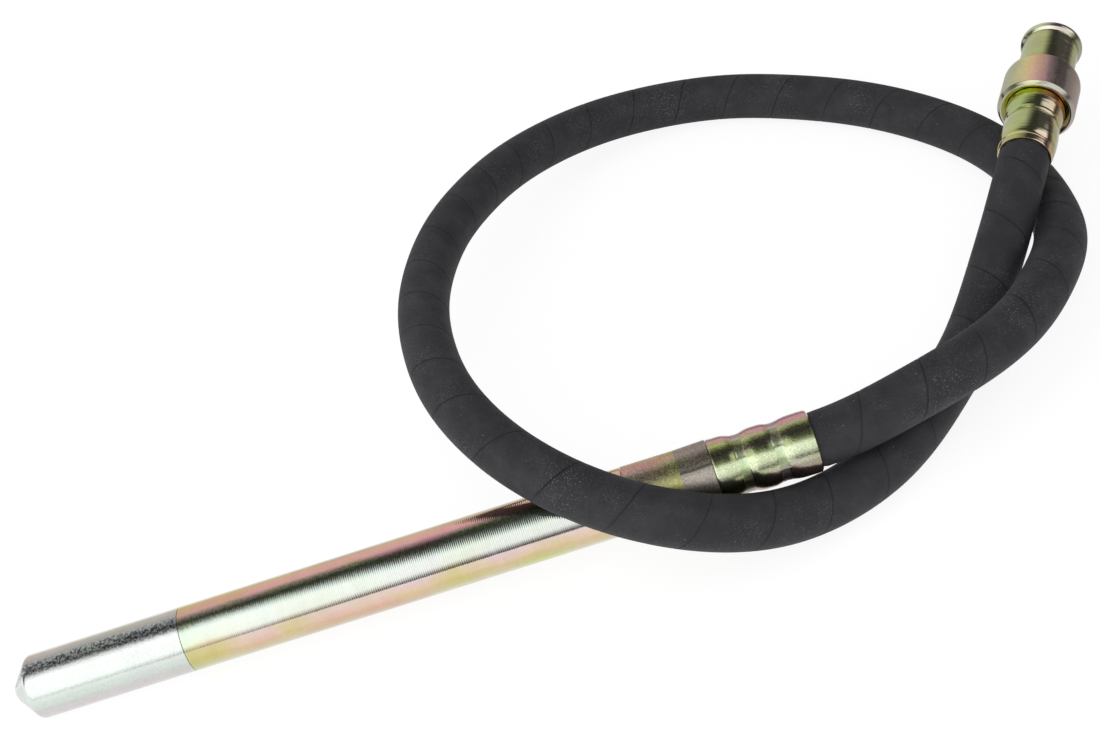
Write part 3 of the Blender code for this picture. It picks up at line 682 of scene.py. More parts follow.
neck = {"wide": 17.5, "thin": 17.3, "bandRadius": 17.8, "start": 342.6, "bandStart": 371.6, "bandEnd": 389.1,
        "stemEnd": 437.1, "bore": 6.4, "spigot": 14.0, "spigotStart": 316.1, "edge": 0.2, "bandRound": 3.0,
        "bandEdge": 0.35, "bandInside": 12.0}


def makeNeck():
    points = [(neck["wide"], neck["start"], neck["edge"]), (neck["thin"], neck["bandStart"], neck["bandRound"])]
    points += [(neck["bandRadius"], neck["bandEnd"], neck["bandEdge"])]
    points += stemTeeth(neck["bandEnd"], neck["stemEnd"])
    points += [(neck["bore"], neck["stemEnd"]), (neck["bore"], neck["spigotStart"])]
    points += [(neck["spigot"], neck["spigotStart"]), (neck["spigot"], neck["start"])]
    made = turnPiece("neckAdapter", points, headFrame)
    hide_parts("neck_adapter")
    return made


headFerrule = {
    "start": 390.1, "length": 54.0, "bore": 14.4, "crimps": (14.7, 34.4), "jawWidth": 4.8, "jaws": 8,
    "jawTurn": 14.5, "jawDepth": 0.10, "ridge": 0.08, "ridgeWidth": 0.8, "crimpInside": 15.0,
    "waves": (
        (17.3, -0.7), (17.45, 0.5), (17.35, 4.5), (16.95, 8.6), (15.85, 12.2), (15.6, 14.7), (15.85, 17.2),
        (16.7, 20.8), (16.9, 25.0), (16.75, 29.0), (15.95, 32.2), (15.75, 34.4), (16.0, 36.8), (16.7, 40.8),
        (16.95, 45.5), (16.95, 50.0), (16.75, 52.9), (16.25, 53.8), (15.5, 54.0),
    ),
    "endWays": ((0.7, 0.7, 0.0), (-0.6, 0.8, 0.0)),
}


def makeHeadFerrule():
    start = headFerrule["start"]
    half = headFerrule["jawWidth"] / 2
    knots = [(radius, station, 0.0) for radius, station in headFerrule["waves"]]
    wave = smoothCurve(knots, *headFerrule["endWays"], 400)
    stations = set(np.linspace(headFerrule["waves"][0][1], headFerrule["length"], 75))
    for crimp in headFerrule["crimps"]:
        stations |= {crimp + side * (half + shift) for side in (-1, 1) for shift in (0.25, 0.1, -0.1, -0.25)}
    stations = sorted(stations)
    points = [(float(np.interp(s, wave[:, 1], wave[:, 0])), start + s) for s in stations]
    points += [(headFerrule["bore"], start + headFerrule["length"]), (headFerrule["bore"], points[0][1])]
    jaw = 2.0 * math.pi / headFerrule["jaws"]
    aim = math.radians(headFerrule["jawTurn"]) + jaw / 2

    def press(radius, station, turn):
        # The jaws of the press leave shallow flats, with a ridge between each two
        if radius <= headFerrule["bore"] + 0.5:
            return radius
        away = min(abs(station - start - crimp) for crimp in headFerrule["crimps"])
        inside = min(1.0, max(0.0, (half - away) / 0.5 + 0.5))
        across = ((turn - aim + jaw / 2) % jaw - jaw / 2) * radius
        ridge = math.exp(-(across / headFerrule["ridgeWidth"]) ** 2)
        return radius + inside * (ridge * headFerrule["ridge"] - (1.0 - ridge) * headFerrule["jawDepth"])

    made = turnPiece("headFerrule", points, headFrame, steps=240, squeeze=press)
    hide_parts("head_ferrule")
    return made


driveFerrule = {
    "length": 52.0, "bore": 14.4, "ridge": 16.5, "ridgeStart": 32.2, "ridgeWidth": 1.6, "ridgeEdge": 0.35,
    "lip": ((15.75, 3.0, 0.2), (15.9, 3.7), (16.05, 7.3), (16.4, 7.6, 0.15), (16.4, 8.4, 0.15), (16.1, 8.7)),
    "hoseBulge": ((16.1, 8.9), (16.5, 10.2), (16.9, 12.6), (17.1, 16.6), (17.1, 21.0), (16.8, 26.0),
                  (16.3, 29.6), (15.9, 31.4)),
    "hoseWays": ((0.3, 0.95, 0.0), (-0.3, 0.95, 0.0)),
    "cupBulge": ((15.9, 34.6), (16.5, 36.6), (17.15, 39.8), (17.55, 44.0), (17.45, 48.0), (16.8, 52.0)),
    "cupWays": ((0.4, 0.9, 0.0), (-0.3, 0.95, 0.0)),
}


def makeDriveFerrule():
    ridge, edge = driveFerrule["ridge"], driveFerrule["ridgeEdge"]
    ridgeEnd = driveFerrule["ridgeStart"] + driveFerrule["ridgeWidth"]

    def bulge(knots, startWay, endWay):
        line = smoothCurve([(radius, station, 0.0) for radius, station in knots], startWay, endWay, 24)
        return [(float(radius), float(station)) for radius, station in line[:, :2]]

    points = [(driveFerrule["bore"], driveFerrule["lip"][0][1])] + list(driveFerrule["lip"])
    points += bulge(driveFerrule["hoseBulge"], *driveFerrule["hoseWays"])
    points += [(ridge, driveFerrule["ridgeStart"], edge), (ridge, ridgeEnd, edge)]
    points += bulge(driveFerrule["cupBulge"], *driveFerrule["cupWays"])
    points += [(driveFerrule["bore"], driveFerrule["length"])]
    made = turnPiece("driveFerrule", points, driveFrame)
    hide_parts("drive_ferrule")
    return made


body = {"start": 52.3, "neckRadius": 14.5, "neckLength": 5.0, "spigot": 17.0, "bore": 14.3, "end": 113.3,
        "bead": ((17.0, 107.5), (18.65, 109.0, 0.5), (18.9, 110.6, 0.8), (18.7, 112.2, 0.8),
                 (17.6, 113.3, 0.5)),
        "beadStart": 107.0, "beadInside": 16.5, "mouthStep": 0.8, "hubRoom": 9.0, "bearing": 66.9,
        "circlip": 75.2, "circlipWidth": 1.2, "circlipDepth": 1.3, "stemEnd": 4.3, "stemBore": 6.4}


def makeBody():
    start, end, bore = body["start"], body["end"], body["bore"]
    shoulder = start + body["neckLength"]
    groove = bore + body["circlipDepth"]
    clipStart = body["circlip"] - gap
    clipEnd = body["circlip"] + body["circlipWidth"] + gap
    seat = body["bearing"] - gap
    points = [(body["neckRadius"], start), (body["neckRadius"], shoulder, 0.4), (body["spigot"], shoulder, 0.6)]
    points += list(body["bead"]) + [(body["spigot"] - body["mouthStep"], end), (bore, end, 0.5)]
    points += [(bore, clipEnd), (groove, clipEnd), (groove, clipStart), (bore, clipStart), (bore, seat)]
    points += [(body["hubRoom"], seat), (body["hubRoom"], start)]
    points += [(body["stemBore"], start), (body["stemBore"], body["stemEnd"])]
    points += list(reversed(stemTeeth(start, body["stemEnd"])))
    made = turnPiece("couplingBody", points, driveFrame)
    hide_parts("coupling_body")
    return made


collar = {"radius": 23.2, "start": 46.0, "end": 83.0, "bore": 17.3, "sleeve": 18.1, "shoulder": 77.5,
          "round": 6.5, "roundSteps": 14, "chamfer": (1.85, 2.2), "cup": 17.8, "cupDepth": 12.0,
          "innerBevel": 2.6, "rimInside": 20.0}


def makeCollar():
    sleeve = collar["sleeve"]
    start = collar["start"]
    rim = collar["radius"] - collar["chamfer"][0]
    floor = start + collar["cupDepth"]
    points = [(collar["bore"], collar["end"], 0.2), (sleeve, collar["end"], 0.3)]
    for i in range(collar["roundSteps"] + 1):
        turn = math.pi / 2 * i / collar["roundSteps"]
        radius = sleeve + (collar["radius"] - sleeve) * math.sin(turn)
        points.append((radius, collar["shoulder"] - collar["round"] * (1.0 - math.cos(turn))))
    points += [(collar["radius"], start + collar["chamfer"][1], 0.5), (rim, start, 0.4)]
    points += [(collar["cup"] + collar["innerBevel"], start, 0.2)]
    points += [(collar["cup"], start + collar["innerBevel"] * 0.8, 0.3), (collar["cup"], floor, 1.0)]
    points += [(collar["bore"], floor)]
    made = turnPiece("couplingCollar", points, driveFrame)
    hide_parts("coupling_collar")
    return made


nosePlug = makeNose()
headTube = makeTube()
neckAdapter = makeNeck()
headFerruleSkin = makeHeadFerrule()
driveFerruleSkin = makeDriveFerrule()
couplingBody = makeBody()
couplingCollar = makeCollar()
print("turned pieces made")


# Shared effects
def makePhaseGroup():
    # Where round the piece a point lies, as a share of a turn from straight down, blurred by plating clouds
    inputs = (("Cloud Size", 0.03), ("Cloud Amount", 0.04), ("Stretch", 0.35), ("Seed", 0.0))
    tree, given, out = newGroup("platingPhase", inputs, ("Phase", "Cloud"))
    x, y, z = splitVector(objectSpot(tree))
    turn = calc("ARCTAN2", times(y, -1.0), x)
    share = calc("DIVIDE", turn, 2.0 * math.pi)
    share = calc("FRACT", calc("ADD", share, 1.0))
    drawn = joinVector(x, y, times(z, given["Stretch"]))
    cloud = addNoise(drawn, calc("DIVIDE", 1.0, given["Cloud Size"]), 2.5, 0.45, given["Seed"])
    shift = calc("SUBTRACT", cloud, 0.5)
    feed(calc("MULTIPLY_ADD", shift, given["Cloud Amount"], share), out["Phase"])
    feed(cloud, out["Cloud"])
    return tree


def makeMarksGroup():
    # Fine lines that a lathe leaves round the piece, and the grain of the plating
    inputs = (("Lines", 2500.0), ("Grain Size", 0.0012), ("Groove Pitch", 0.0015), ("Seed", 0.0))
    tree, given, out = newGroup("turningMarks", inputs, ("Line", "Broad", "Grain", "Groove"))
    spot = objectSpot(tree)
    x, y, z = splitVector(spot)
    for label, divisor, stretch in (("Line", 1.0, 60.0), ("Broad", 7.0, 25.0)):
        along = times(z, calc("DIVIDE", given["Lines"], divisor))
        drawn = joinVector(times(x, stretch), times(y, stretch), along)
        noise = addNoise(drawn, 1.0, seed=given["Seed"])
        feed(noise, out[label])
    ring = calc("DIVIDE", z, given["Groove Pitch"])
    ring = calc("MULTIPLY_ADD", noise, 1.2, ring)
    feed(calc("SINE", times(ring, 2.0 * math.pi)), out["Groove"])
    grain = addNoise(spot, calc("DIVIDE", 1.0, given["Grain Size"]), 3.0)
    feed(grain, out["Grain"])
    return tree


def makeSpeckGroup():
    # Small light specks of dust, as a mask
    tree, given, out = newGroup("dustSpecks", (("Spacing", 0.006), ("Size", 0.05), ("Keep", 0.2)), ("Speck",))
    cells = addNode(tree, "ShaderNodeTexVoronoi")
    feed(objectSpot(tree), cells.inputs["Vector"])
    feed(calc("DIVIDE", 1.0, given["Spacing"]), cells.inputs["Scale"])
    close = calc("LESS_THAN", cells.outputs["Distance"], given["Size"])
    split = addNode(tree, "ShaderNodeSeparateColor")
    feed(cells.outputs["Color"], split.inputs[0])
    kept = calc("LESS_THAN", split.outputs[0], given["Keep"])
    feed(times(close, kept), out["Speck"])
    return tree


platingPhase = makePhaseGroup()
turningMarks = makeMarksGroup()
dustSpecks = makeSpeckGroup()


def elevation(angle):
    # Share of a turn for a face that looks so many degrees up from the front
    return (angle + 90.0) / 360.0


# How strongly the tinted patches show on faces at these angles: the bright band stays nearly plain
patchShow = ((16, 1.0), (30, 0.22), (64, 0.22), (80, 1.0))


def platedMetal(name, look):
    made, tree = newMaterial(name)
    phase = place(tree, platingPhase, **{"Cloud Size": look["cloudSize"], "Cloud Amount": look["cloudAmount"],
                                         "Stretch": look["stretch"], "Seed": look["seed"]})
    marks = place(tree, turningMarks, **{"Lines": look["lines"], "Grain Size": look["grainSize"],
                                         "Groove Pitch": look["groovePitch"], "Seed": look["seed"]})
    # Colour by face angle: the plating's tint with painted reflection colour, painted highlights and painted
    # shade
    color = ramp(phase["Phase"], [(elevation(angle), tone) for angle, tone in look["tintAndPaintedLight"]], "EASE")
    streak = remap(marks["Broad"], 0.3, 0.7, 1.0 - look["streak"], 1.0)
    color = blendColors(1.0, color, streak, "MULTIPLY")
    patch = ramp(phase["Cloud"], [(0.34, look["patches"][0]), (0.5, white), (0.66, look["patches"][1])])
    calm = [(elevation(angle), (share, share, share)) for angle, share in patchShow]
    color = blendColors(ramp(phase["Phase"], calm), color, patch, "MULTIPLY")
    speckle = remap(marks["Grain"], 0.35, 0.65, 1.0 - look["speckle"], 1.0)
    color = blendColors(1.0, color, speckle, "MULTIPLY")
    station = splitVector(objectSpot(tree))["Z"]
    if "drift" in look:
        low, high, tint = look["drift"]
        share = remap(station, low * mm, high * mm, 0.0, 1.0, smooth=True)
        color = blendColors(share, color, blendColors(1.0, color, (*tint, 1.0), "MULTIPLY"))
    # Grain darkened only on faces in the band of angles that mirror the dark room: real grain with a painted
    # dark reflection
    if "darkBandGrain" in look:
        low, high, depth = look["darkBandGrain"]
        edges = ((low - 8, black), (low, white), (high, white), (high + 10, black))
        band = ramp(phase["Phase"], [(elevation(angle), tone) for angle, tone in edges])
        darkBandGrain = remap(marks["Grain"], 0.40, 0.60, 1.0 - depth, 1.0)
        color = blendColors(band, color, blendColors(1.0, color, darkBandGrain, "MULTIPLY"))
    rough = remap(marks["Line"], 0.3, 0.7, look["rough"][0], look["rough"][1])
    height = times(marks["Line"], look["lineDepth"])
    height = calc("MULTIPLY_ADD", marks["Broad"], look["broadDepth"], height)
    height = calc("MULTIPLY_ADD", marks["Grain"], look["grainDepth"], height)
    low, high = look["grooveRise"]
    groove = remap(station, low * mm, high * mm, 0.25, 1.0, smooth=True)
    groove = times(groove, marks["Groove"])
    height = calc("MULTIPLY_ADD", groove, look["grooveDepth"], height)
    showSurface(tree, color, rough, Metallic=look.get("metal", 1.0), Normal=addBump(height, 1.0))
    return made


black = (0.0, 0.0, 0.0)
white = (1.0, 1.0, 1.0)
mint = (0.74, 0.83, 0.76)
silver = (0.80, 0.82, 0.80)
paleYellow = (0.74, 0.64, 0.40)
yellowGreen = (0.58, 0.56, 0.30)
olive = (0.54, 0.61, 0.41)
leafGreen = (0.60, 0.70, 0.34)
orange = (0.82, 0.58, 0.38)
salmon = (0.92, 0.55, 0.43)
rose = (0.86, 0.48, 0.48)


def retone(look, changes):
    return tuple((angle, changes.get(angle, tone)) for angle, tone in look["tintAndPaintedLight"])


# Finishes: colours go by the degrees that a face looks up from the front, and hold the plating's tint together
# with painted reflection colour, painted highlights and painted shade; drift by station in mm
noseLook = {
    "tintAndPaintedLight": (
        (-90, (0.70, 0.70, 0.70)), (-16, (0.66, 0.63, 0.62)), (-4, (0.65, 0.66, 0.64)),
        (10, (0.69, 0.77, 0.71)), (22, (0.78, 0.85, 0.80)), (50, silver), (66, (0.92, 0.94, 0.93)),
        (76, (0.88, 0.92, 0.92)), (82, (0.66, 0.69, 0.69)), (90, (0.60, 0.61, 0.60)),
        (98, (0.62, 0.57, 0.55)), (105, (0.74, 0.66, 0.60)), (118, (0.73, 0.71, 0.62)), (150, mint),
        (270, silver),
    ),
    "patches": ((0.97, 1.0, 0.94), (1.0, 0.96, 0.98)), "cloudSize": 0.03, "cloudAmount": 0.05, "stretch": 0.6,
    "seed": 1.0, "lines": 1100.0, "grainSize": 0.0012, "groovePitch": 0.0015, "grooveDepth": 0.0,
    "grooveRise": (0, 1), "speckle": 0.08, "streak": 0.05, "rough": (0.08, 0.14), "lineDepth": 0.000008,
    "broadDepth": 0.000015, "grainDepth": 0.00006, "darkBandGrain": (72, 86, 0.85),
    # The drift here darkens the cone faces near the tip: painted shade
    "drift": (11, 8, (0.84, 0.84, 0.84)),
}
tubeLook = {
    "tintAndPaintedLight": (
        (-90, paleYellow), (-30, (0.70, 0.66, 0.48)), (-16, (0.64, 0.59, 0.38)), (-4, (0.72, 0.55, 0.345)),
        (8, (0.79, 0.61, 0.46)), (20, (0.80, 0.64, 0.60)), (30, (0.78, 0.80, 0.74)), (45, (0.78, 0.83, 0.77)),
        (62, mint), (74, olive), (82, (0.66, 0.54, 0.42)), (88, (0.90, 0.54, 0.51)), (97, (0.98, 0.54, 0.49)),
        (104, (0.98, 0.58, 0.43)), (110, (0.88, 0.63, 0.38)), (116, (0.74, 0.61, 0.38)),
        (124, (0.64, 0.60, 0.44)), (150, paleYellow), (200, salmon), (270, paleYellow),
    ),
    "patches": ((0.90, 1.0, 0.66), (1.0, 0.84, 1.0)), "cloudSize": 0.019, "cloudAmount": 0.08, "stretch": 0.6,
    "seed": 2.0, "lines": 1100.0, "grainSize": 0.0012, "groovePitch": 0.0011, "grooveDepth": 0.000012,
    "grooveRise": (130, 270), "speckle": 0.05, "streak": 0.06, "rough": (0.07, 0.13), "lineDepth": 0.000020,
    "broadDepth": 0.000020, "grainDepth": 0.000016, "darkBandGrain": (68, 80, 0.40),
}
neckLook = dict(
    tubeLook,
    tintAndPaintedLight=(
        (-90, paleYellow), (30, paleYellow), (54, (0.72, 0.67, 0.38)), (66, (0.76, 0.72, 0.46)),
        (80, (0.76, 0.68, 0.50)), (90, (0.82, 0.65, 0.54)), (99, (0.86, 0.58, 0.52)),
        (108, (0.86, 0.55, 0.46)), (118, (0.78, 0.58, 0.40)), (128, paleYellow), (200, salmon),
        (270, paleYellow),
    ),
    rough=(0.34, 0.44), lineDepth=0.00002, broadDepth=0.00002, grainDepth=0.00004, grooveDepth=0.0,
    grainSize=0.0010, speckle=0.30, drift=(354, 368, (0.96, 1.0, 0.74)), cloudSize=0.012,
    patches=((0.84, 1.0, 0.66), (1.0, 0.84, 0.84)), seed=3.0,
)
bandLook = dict(
    tubeLook,
    tintAndPaintedLight=(
        (-90, (0.52, 0.48, 0.43)), (20, (0.60, 0.54, 0.47)), (50, (0.66, 0.60, 0.53)),
        (56, (0.60, 0.55, 0.48)), (58, (0.20, 0.19, 0.15)), (61, (0.24, 0.23, 0.18)),
        (64, (0.50, 0.48, 0.40)), (80, (0.54, 0.48, 0.39)), (98, (0.60, 0.50, 0.47)),
        (112, (0.52, 0.43, 0.37)), (270, (0.52, 0.48, 0.43)),
    ),
    rough=(0.36, 0.48), grainSize=0.0009, grainDepth=0.00011, lineDepth=0.00002, grooveDepth=0.0,
    speckle=0.35, streak=0.12, cloudSize=0.008, cloudAmount=0.03,
    patches=((0.94, 1.0, 0.74), (1.0, 0.90, 0.84)), seed=4.0,
)
ferruleLook = dict(
    tubeLook,
    tintAndPaintedLight=(
        (-90, rose), (-40, (0.52, 0.44, 0.32)), (8, (0.42, 0.37, 0.28)), (17, (0.58, 0.58, 0.44)),
        # The bright tone at 45 degrees and the dark dip at 54 paint the width of the ferrule's highlight:
        # painted highlight and painted shade
        (27, (0.76, 0.82, 0.58)), (45, (0.85, 0.95, 0.65)), (54, (0.48, 0.54, 0.27)),
        (62, (0.55, 0.60, 0.34)), (70, (0.50, 0.47, 0.34)), (80, (0.62, 0.62, 0.30)),
        (89, (0.70, 0.78, 0.34)), (97, (0.78, 0.52, 0.44)), (107, (0.86, 0.46, 0.46)),
        (117, (0.48, 0.26, 0.27)), (130, (0.70, 0.50, 0.50)), (160, (0.70, 0.64, 0.40)),
        (200, (0.62, 0.68, 0.40)), (240, (0.74, 0.60, 0.44)), (270, rose),
    ),
    rough=(0.15, 0.24), speckle=0.24, lineDepth=0.000008, broadDepth=0.00001, grainDepth=0.00007,
    grainSize=0.0010, grooveDepth=0.0, cloudAmount=0.05, seed=5.0,
)
crimpLook = dict(
    ferruleLook,
    tintAndPaintedLight=(
        (-90, rose), (-40, (0.50, 0.42, 0.34)), (8, (0.44, 0.42, 0.34)), (26, (0.56, 0.66, 0.38)),
        # Brighter tones from 36 to 60 degrees paint a highlight across the middle of each crimp
        (36, (0.76, 0.92, 0.58)), (46, (0.82, 0.97, 0.66)), (60, (0.86, 0.95, 0.64)),
        (72, (0.70, 0.70, 0.45)), (82, (0.50, 0.48, 0.30)), (90, (0.60, 0.60, 0.38)),
        (98, (0.80, 0.68, 0.54)), (107, (0.62, 0.48, 0.46)), (118, (0.50, 0.40, 0.38)),
        (135, (0.55, 0.45, 0.45)), (180, (0.52, 0.52, 0.38)), (240, (0.56, 0.48, 0.40)), (270, rose),
    ),
    rough=(0.30, 0.40), grainDepth=0.00003, speckle=0.2,
)
driveLook = dict(
    tubeLook,
    tintAndPaintedLight=(
        (-90, yellowGreen), (4, (0.56, 0.56, 0.32)), (14, (0.54, 0.51, 0.27)), (26, (0.78, 0.67, 0.38)),
        (36, (0.62, 0.52, 0.34)), (46, (0.80, 0.72, 0.54)), (64, (0.74, 0.70, 0.50)),
        (76, (0.46, 0.47, 0.28)), (88, (0.54, 0.60, 0.28)), (100, (0.60, 0.71, 0.28)),
        (120, (0.63, 0.75, 0.32)), (136, (0.66, 0.76, 0.37)), (160, leafGreen), (270, yellowGreen),
    ),
    patches=((0.97, 1.0, 0.80), (1.0, 0.84, 0.98)), rough=(0.07, 0.13), lines=560.0, lineDepth=0.00024,
    darkBandGrain=(60, 70, 0.0), broadDepth=0.00004, grooveDepth=0.0, streak=0.2, seed=6.0,
)
cupEndLook = dict(
    driveLook,
    tintAndPaintedLight=retone(driveLook, {
        4: (0.56, 0.52, 0.30), 14: (0.62, 0.50, 0.28), 26: (0.90, 0.62, 0.38), 36: (0.80, 0.56, 0.36),
        46: (0.60, 0.48, 0.36), 64: (0.54, 0.48, 0.34), 76: (0.44, 0.46, 0.26), 88: (0.54, 0.60, 0.24),
    }),
)
bodyLook = dict(
    driveLook,
    tintAndPaintedLight=retone(driveLook, {
        4: (0.50, 0.54, 0.28), 14: (0.42, 0.47, 0.17), 26: (0.58, 0.63, 0.26), 36: (0.48, 0.48, 0.28),
    }),
    seed=7.0,
)
beadLook = dict(
    driveLook,
    tintAndPaintedLight=(
        (-90, silver), (20, (0.60, 0.58, 0.38)), (60, (0.82, 0.80, 0.64)), (100, (0.84, 0.84, 0.66)),
        (130, (0.70, 0.74, 0.50)), (160, (0.60, 0.58, 0.48)), (270, silver),
    ),
    rough=(0.10, 0.16),
)
collarLook = dict(
    tubeLook,
    tintAndPaintedLight=(
        (-90, (0.50, 0.42, 0.38)), (0, (0.46, 0.40, 0.36)), (12, (0.48, 0.37, 0.34)),
        # The dark tones from 48 to 62 degrees paint a dark reflection band on the collar
        (26, (0.48, 0.36, 0.32)), (38, (0.42, 0.34, 0.31)), (48, (0.20, 0.17, 0.15)),
        (62, (0.19, 0.15, 0.14)), (71, (0.46, 0.33, 0.33)), (79, (0.98, 0.58, 0.53)), (88, (1.0, 0.60, 0.48)),
        (96, (0.98, 0.64, 0.43)), (106, (0.88, 0.70, 0.36)), (118, (0.72, 0.70, 0.34)),
        (132, (0.60, 0.63, 0.33)), (146, (0.60, 0.56, 0.44)), (200, paleYellow), (270, (0.50, 0.42, 0.38)),
    ),
    patches=((0.92, 1.0, 0.74), (1.0, 0.86, 1.0)), cloudSize=0.012, rough=(0.32, 0.42), lineDepth=0.0,
    broadDepth=0.0, streak=0.0, grainSize=0.0009, grainDepth=0.00007, grooveDepth=0.0, speckle=0.15,
    metal=0.62, darkBandGrain=(44, 64, 0.45), seed=8.0,
)
rimLook = dict(
    beadLook,
    tintAndPaintedLight=(
        (-90, silver), (0, (0.60, 0.60, 0.48)), (24, (0.64, 0.60, 0.52)), (60, (0.66, 0.64, 0.58)),
        (84, (0.74, 0.70, 0.58)), (100, (0.86, 0.78, 0.68)), (112, (0.86, 0.82, 0.70)),
        (130, (0.50, 0.50, 0.34)), (150, (0.60, 0.58, 0.48)), (270, silver),
    ),
)
cupLook = dict(
    driveLook,
    tintAndPaintedLight=(
        (-90, yellowGreen), (0, yellowGreen), (50, orange), (75, (0.86, 0.62, 0.22)),
        (95, (0.74, 0.66, 0.22)), (130, (0.70, 0.64, 0.28)), (270, yellowGreen),
    ),
    seed=10.0,
)


def dress(piece, *materials):
    piece.data.materials.clear()
    for made in materials:
        piece.data.materials.append(made)


def paint(piece, index, chosen):
    # Faces that the test picks, by station and distance from the axis in millimetres, take another finish
    for face in piece.data.polygons:
        if chosen(face.center.z / mm, math.hypot(face.center.x, face.center.y) / mm):
            face.material_index = index


def onCrimp(station, reach):
    near = min(abs(station - headFerrule["start"] - crimp) for crimp in headFerrule["crimps"])
    return near < headFerrule["jawWidth"] / 2 and reach > headFerrule["crimpInside"]


tubeDrift = (112, 99, (0.92, 1.0, 0.88))
lipDrift = (14, 8, (1.0, 0.84, 0.86))
dress(nosePlug, platedMetal("noseZinc", noseLook))
dress(headTube, platedMetal("tubeZinc", dict(tubeLook, drift=tubeDrift)))
dress(neckAdapter, platedMetal("neckZinc", neckLook), platedMetal("bandZinc", bandLook))
paint(neckAdapter, 1, lambda z, r: neck["bandStart"] <= z <= neck["bandEnd"] + 0.1 and r > neck["bandInside"])
dress(headFerruleSkin, platedMetal("headFerruleZinc", ferruleLook), platedMetal("crimpZinc", crimpLook))
paint(headFerruleSkin, 1, onCrimp)
dress(driveFerruleSkin, platedMetal("driveFerruleZinc", dict(driveLook, drift=lipDrift)),
      platedMetal("cupEndZinc", cupEndLook))
paint(driveFerruleSkin, 1, lambda z, r: z > driveFerrule["cupBulge"][0][1])
dress(couplingBody, platedMetal("bodyZinc", bodyLook), platedMetal("beadZinc", beadLook))
paint(couplingBody, 1, lambda z, r: z > body["beadStart"] and r > body["beadInside"])
dress(couplingCollar, platedMetal("collarZinc", collarLook), platedMetal("rimZinc", rimLook),
      platedMetal("cupZinc", cupLook), couplingBody.data.materials[0])
cupFloor = collar["start"] + collar["cupDepth"]
paint(couplingCollar, 2, lambda z, r: z < cupFloor + 0.1 and r < collar["rimInside"])
paint(couplingCollar, 3, lambda z, r: z > collar["shoulder"] - 0.2 and r < collar["sleeve"] + 0.6)
paint(couplingCollar, 1, lambda z, r: z < collar["start"] + collar["chamfer"][1] and r > collar["rimInside"])


rubberLook = {
    "base": (0.0235, 0.0235, 0.0270),
    "worn": (0.050, 0.050, 0.057),
    "seam": (0.006, 0.006, 0.007),
    "speck": (0.26, 0.26, 0.27),
    "weave": 0.0011,
    "weaveDepth": 0.00005,
    "seamWidth": 0.0010,
    "seamShow": (0.55, 1.0),
    "noises": (("blotch", 22.0, 3.0), ("scuff", 70.0, 6.0), ("fine", 900.0, 3.0), ("dust", 1500.0, 1.0)),
    "fleckShow": 0.62,
    "specks": {"Spacing": 0.005, "Size": 0.06, "Keep": 0.35},
    "speckShow": 0.6,
    "fineDepth": 0.00012,
    "scuffDepth": 0.0006,
    "rough": (0.60, 0.76),
}


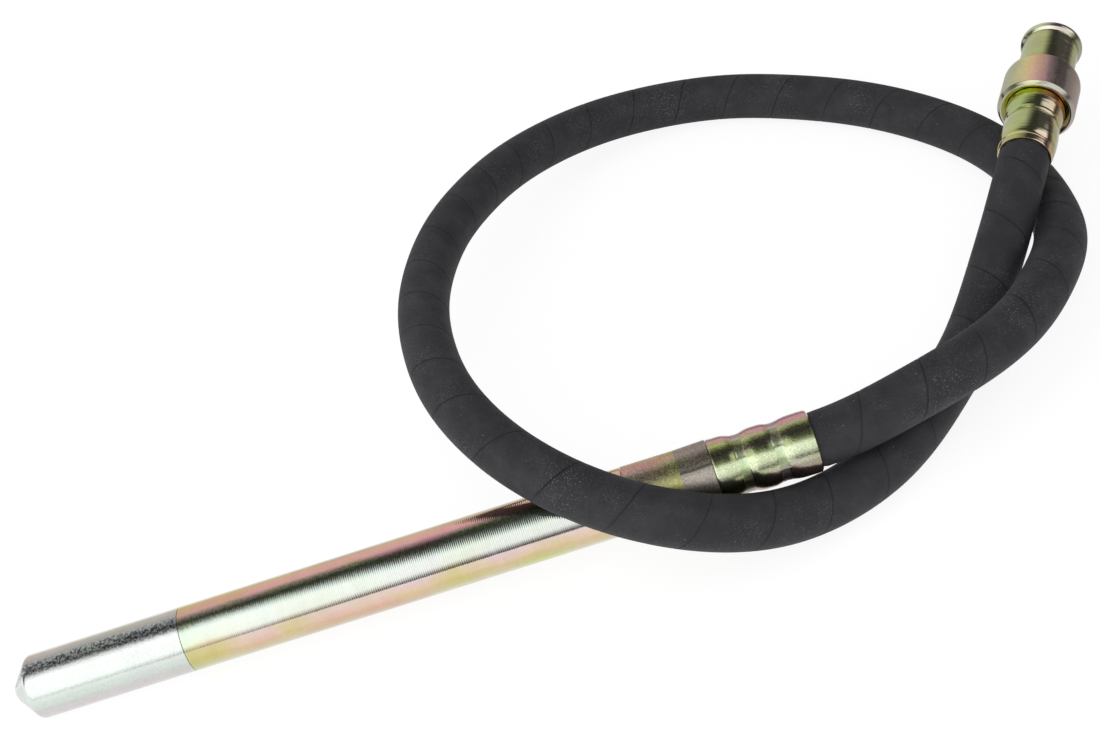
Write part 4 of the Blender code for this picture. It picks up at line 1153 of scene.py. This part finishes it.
def wrappedRubber():
    made, tree = newMaterial("hoseRubber")
    lay = addNode(tree, "ShaderNodeAttribute", attribute_name="hoseLay")
    station, cos, sin = splitVector(lay.outputs["Vector"])
    turn = calc("DIVIDE", calc("ARCTAN2", sin, cos), 2.0 * math.pi)
    wraps = calc("SUBTRACT", station, hose["wrapStart"])
    wraps = calc("DIVIDE", wraps, hose["wrapPitch"])
    across = calc("FRACT", calc("ADD", calc("ADD", wraps, turn), 8.0))
    across = calc("ABSOLUTE", calc("WRAP", across, 0.5, -0.5))
    fromSeam = times(across, hose["wrapPitch"])
    seam = remap(fromSeam, 0.0, rubberLook["seamWidth"], 1.0, 0.0, smooth=True)
    threads = round(math.pi * hose["diameter"] / rubberLook["weave"])
    weft = calc("SINE", times(turn, 2.0 * math.pi * threads))
    warp = calc("SINE", times(station, 2.0 * math.pi / rubberLook["weave"]))
    cloth = times(weft, warp)
    spot = objectSpot(tree)
    noises = {label: addNoise(spot, scale, detail, 0.6) for label, scale, detail in rubberLook["noises"]}
    wear = remap(noises["scuff"], 0.42, 0.72, 0.0, 1.0)
    wear = times(wear, remap(noises["fine"], 0.35, 0.7, 0.25, 1.0))
    color = blendColors(wear, (*rubberLook["base"], 1.0), (*rubberLook["worn"], 1.0))
    dusty = remap(noises["blotch"], 0.38, 0.68, 0.05, 1.0, smooth=True)
    fleck = remap(noises["dust"], 0.63, 0.70, 0.0, rubberLook["fleckShow"])
    color = blendColors(times(fleck, dusty), color, (*rubberLook["speck"], 1.0))
    specks = place(tree, dustSpecks, **rubberLook["specks"])
    specks = times(specks["Speck"], rubberLook["speckShow"])
    color = blendColors(specks, color, (*rubberLook["speck"], 1.0))
    shown = remap(noises["blotch"], 0.4, 0.6, *rubberLook["seamShow"])
    color = blendColors(times(seam, shown), color, (*rubberLook["seam"], 1.0))
    height = times(cloth, rubberLook["weaveDepth"])
    height = calc("MULTIPLY_ADD", noises["fine"], rubberLook["fineDepth"], height)
    height = calc("MULTIPLY_ADD", noises["scuff"], rubberLook["scuffDepth"], height)
    rough = remap(noises["fine"], 0.3, 0.7, *rubberLook["rough"])
    showSurface(tree, color, rough, **{"Normal": addBump(height, 0.8), "Specular IOR Level": 0.35})
    return made


dress(rubberHose, wrappedRubber())
print("finishes on")


# Pieces inside the head and the coupling keep their solids and get plain working finishes
steelLook = dict(
    tubeLook,
    tintAndPaintedLight=((-90, (0.56, 0.57, 0.59)), (90, (0.62, 0.63, 0.65)), (270, (0.56, 0.57, 0.59))),
    grooveDepth=0.0, patches=((0.97, 0.98, 1.0), (1.0, 1.0, 0.98)), darkBandGrain=(68, 80, 0.0), cloudAmount=0.02,
    rough=(0.25, 0.36), seed=9.0,
)
innerSteel = platedMetal("innerSteel", steelLook)
sealLook = {"dark": (0.016, 0.016, 0.018), "light": (0.03, 0.03, 0.032), "scale": 700.0, "rough": (0.42, 0.6)}


def moldedRubber():
    made, tree = newMaterial("sealRubber")
    fine = addNoise(objectSpot(tree), sealLook["scale"])
    color = ramp(fine, [(0.3, sealLook["dark"]), (0.7, sealLook["light"])])
    showSurface(tree, color, remap(fine, 0.3, 0.7, *sealLook["rough"]))
    return made


sealRubber = moldedRubber()
for name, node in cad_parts.items():
    soft = "seal" in name or "o_ring" in name
    node.data.materials.clear()
    node.data.materials.append(sealRubber if soft else innerSteel)
    for face in node.data.polygons:
        face.material_index = 0


# The coupling's pieces, gathered in one list
onCoupling = [driveFerruleSkin, couplingBody, couplingCollar]
onCoupling += [node for name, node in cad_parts.items()
               if name.startswith("drive_") and not node.hide_render]
onCoupling += [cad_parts["hose_liner"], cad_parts["flexible_core"]]
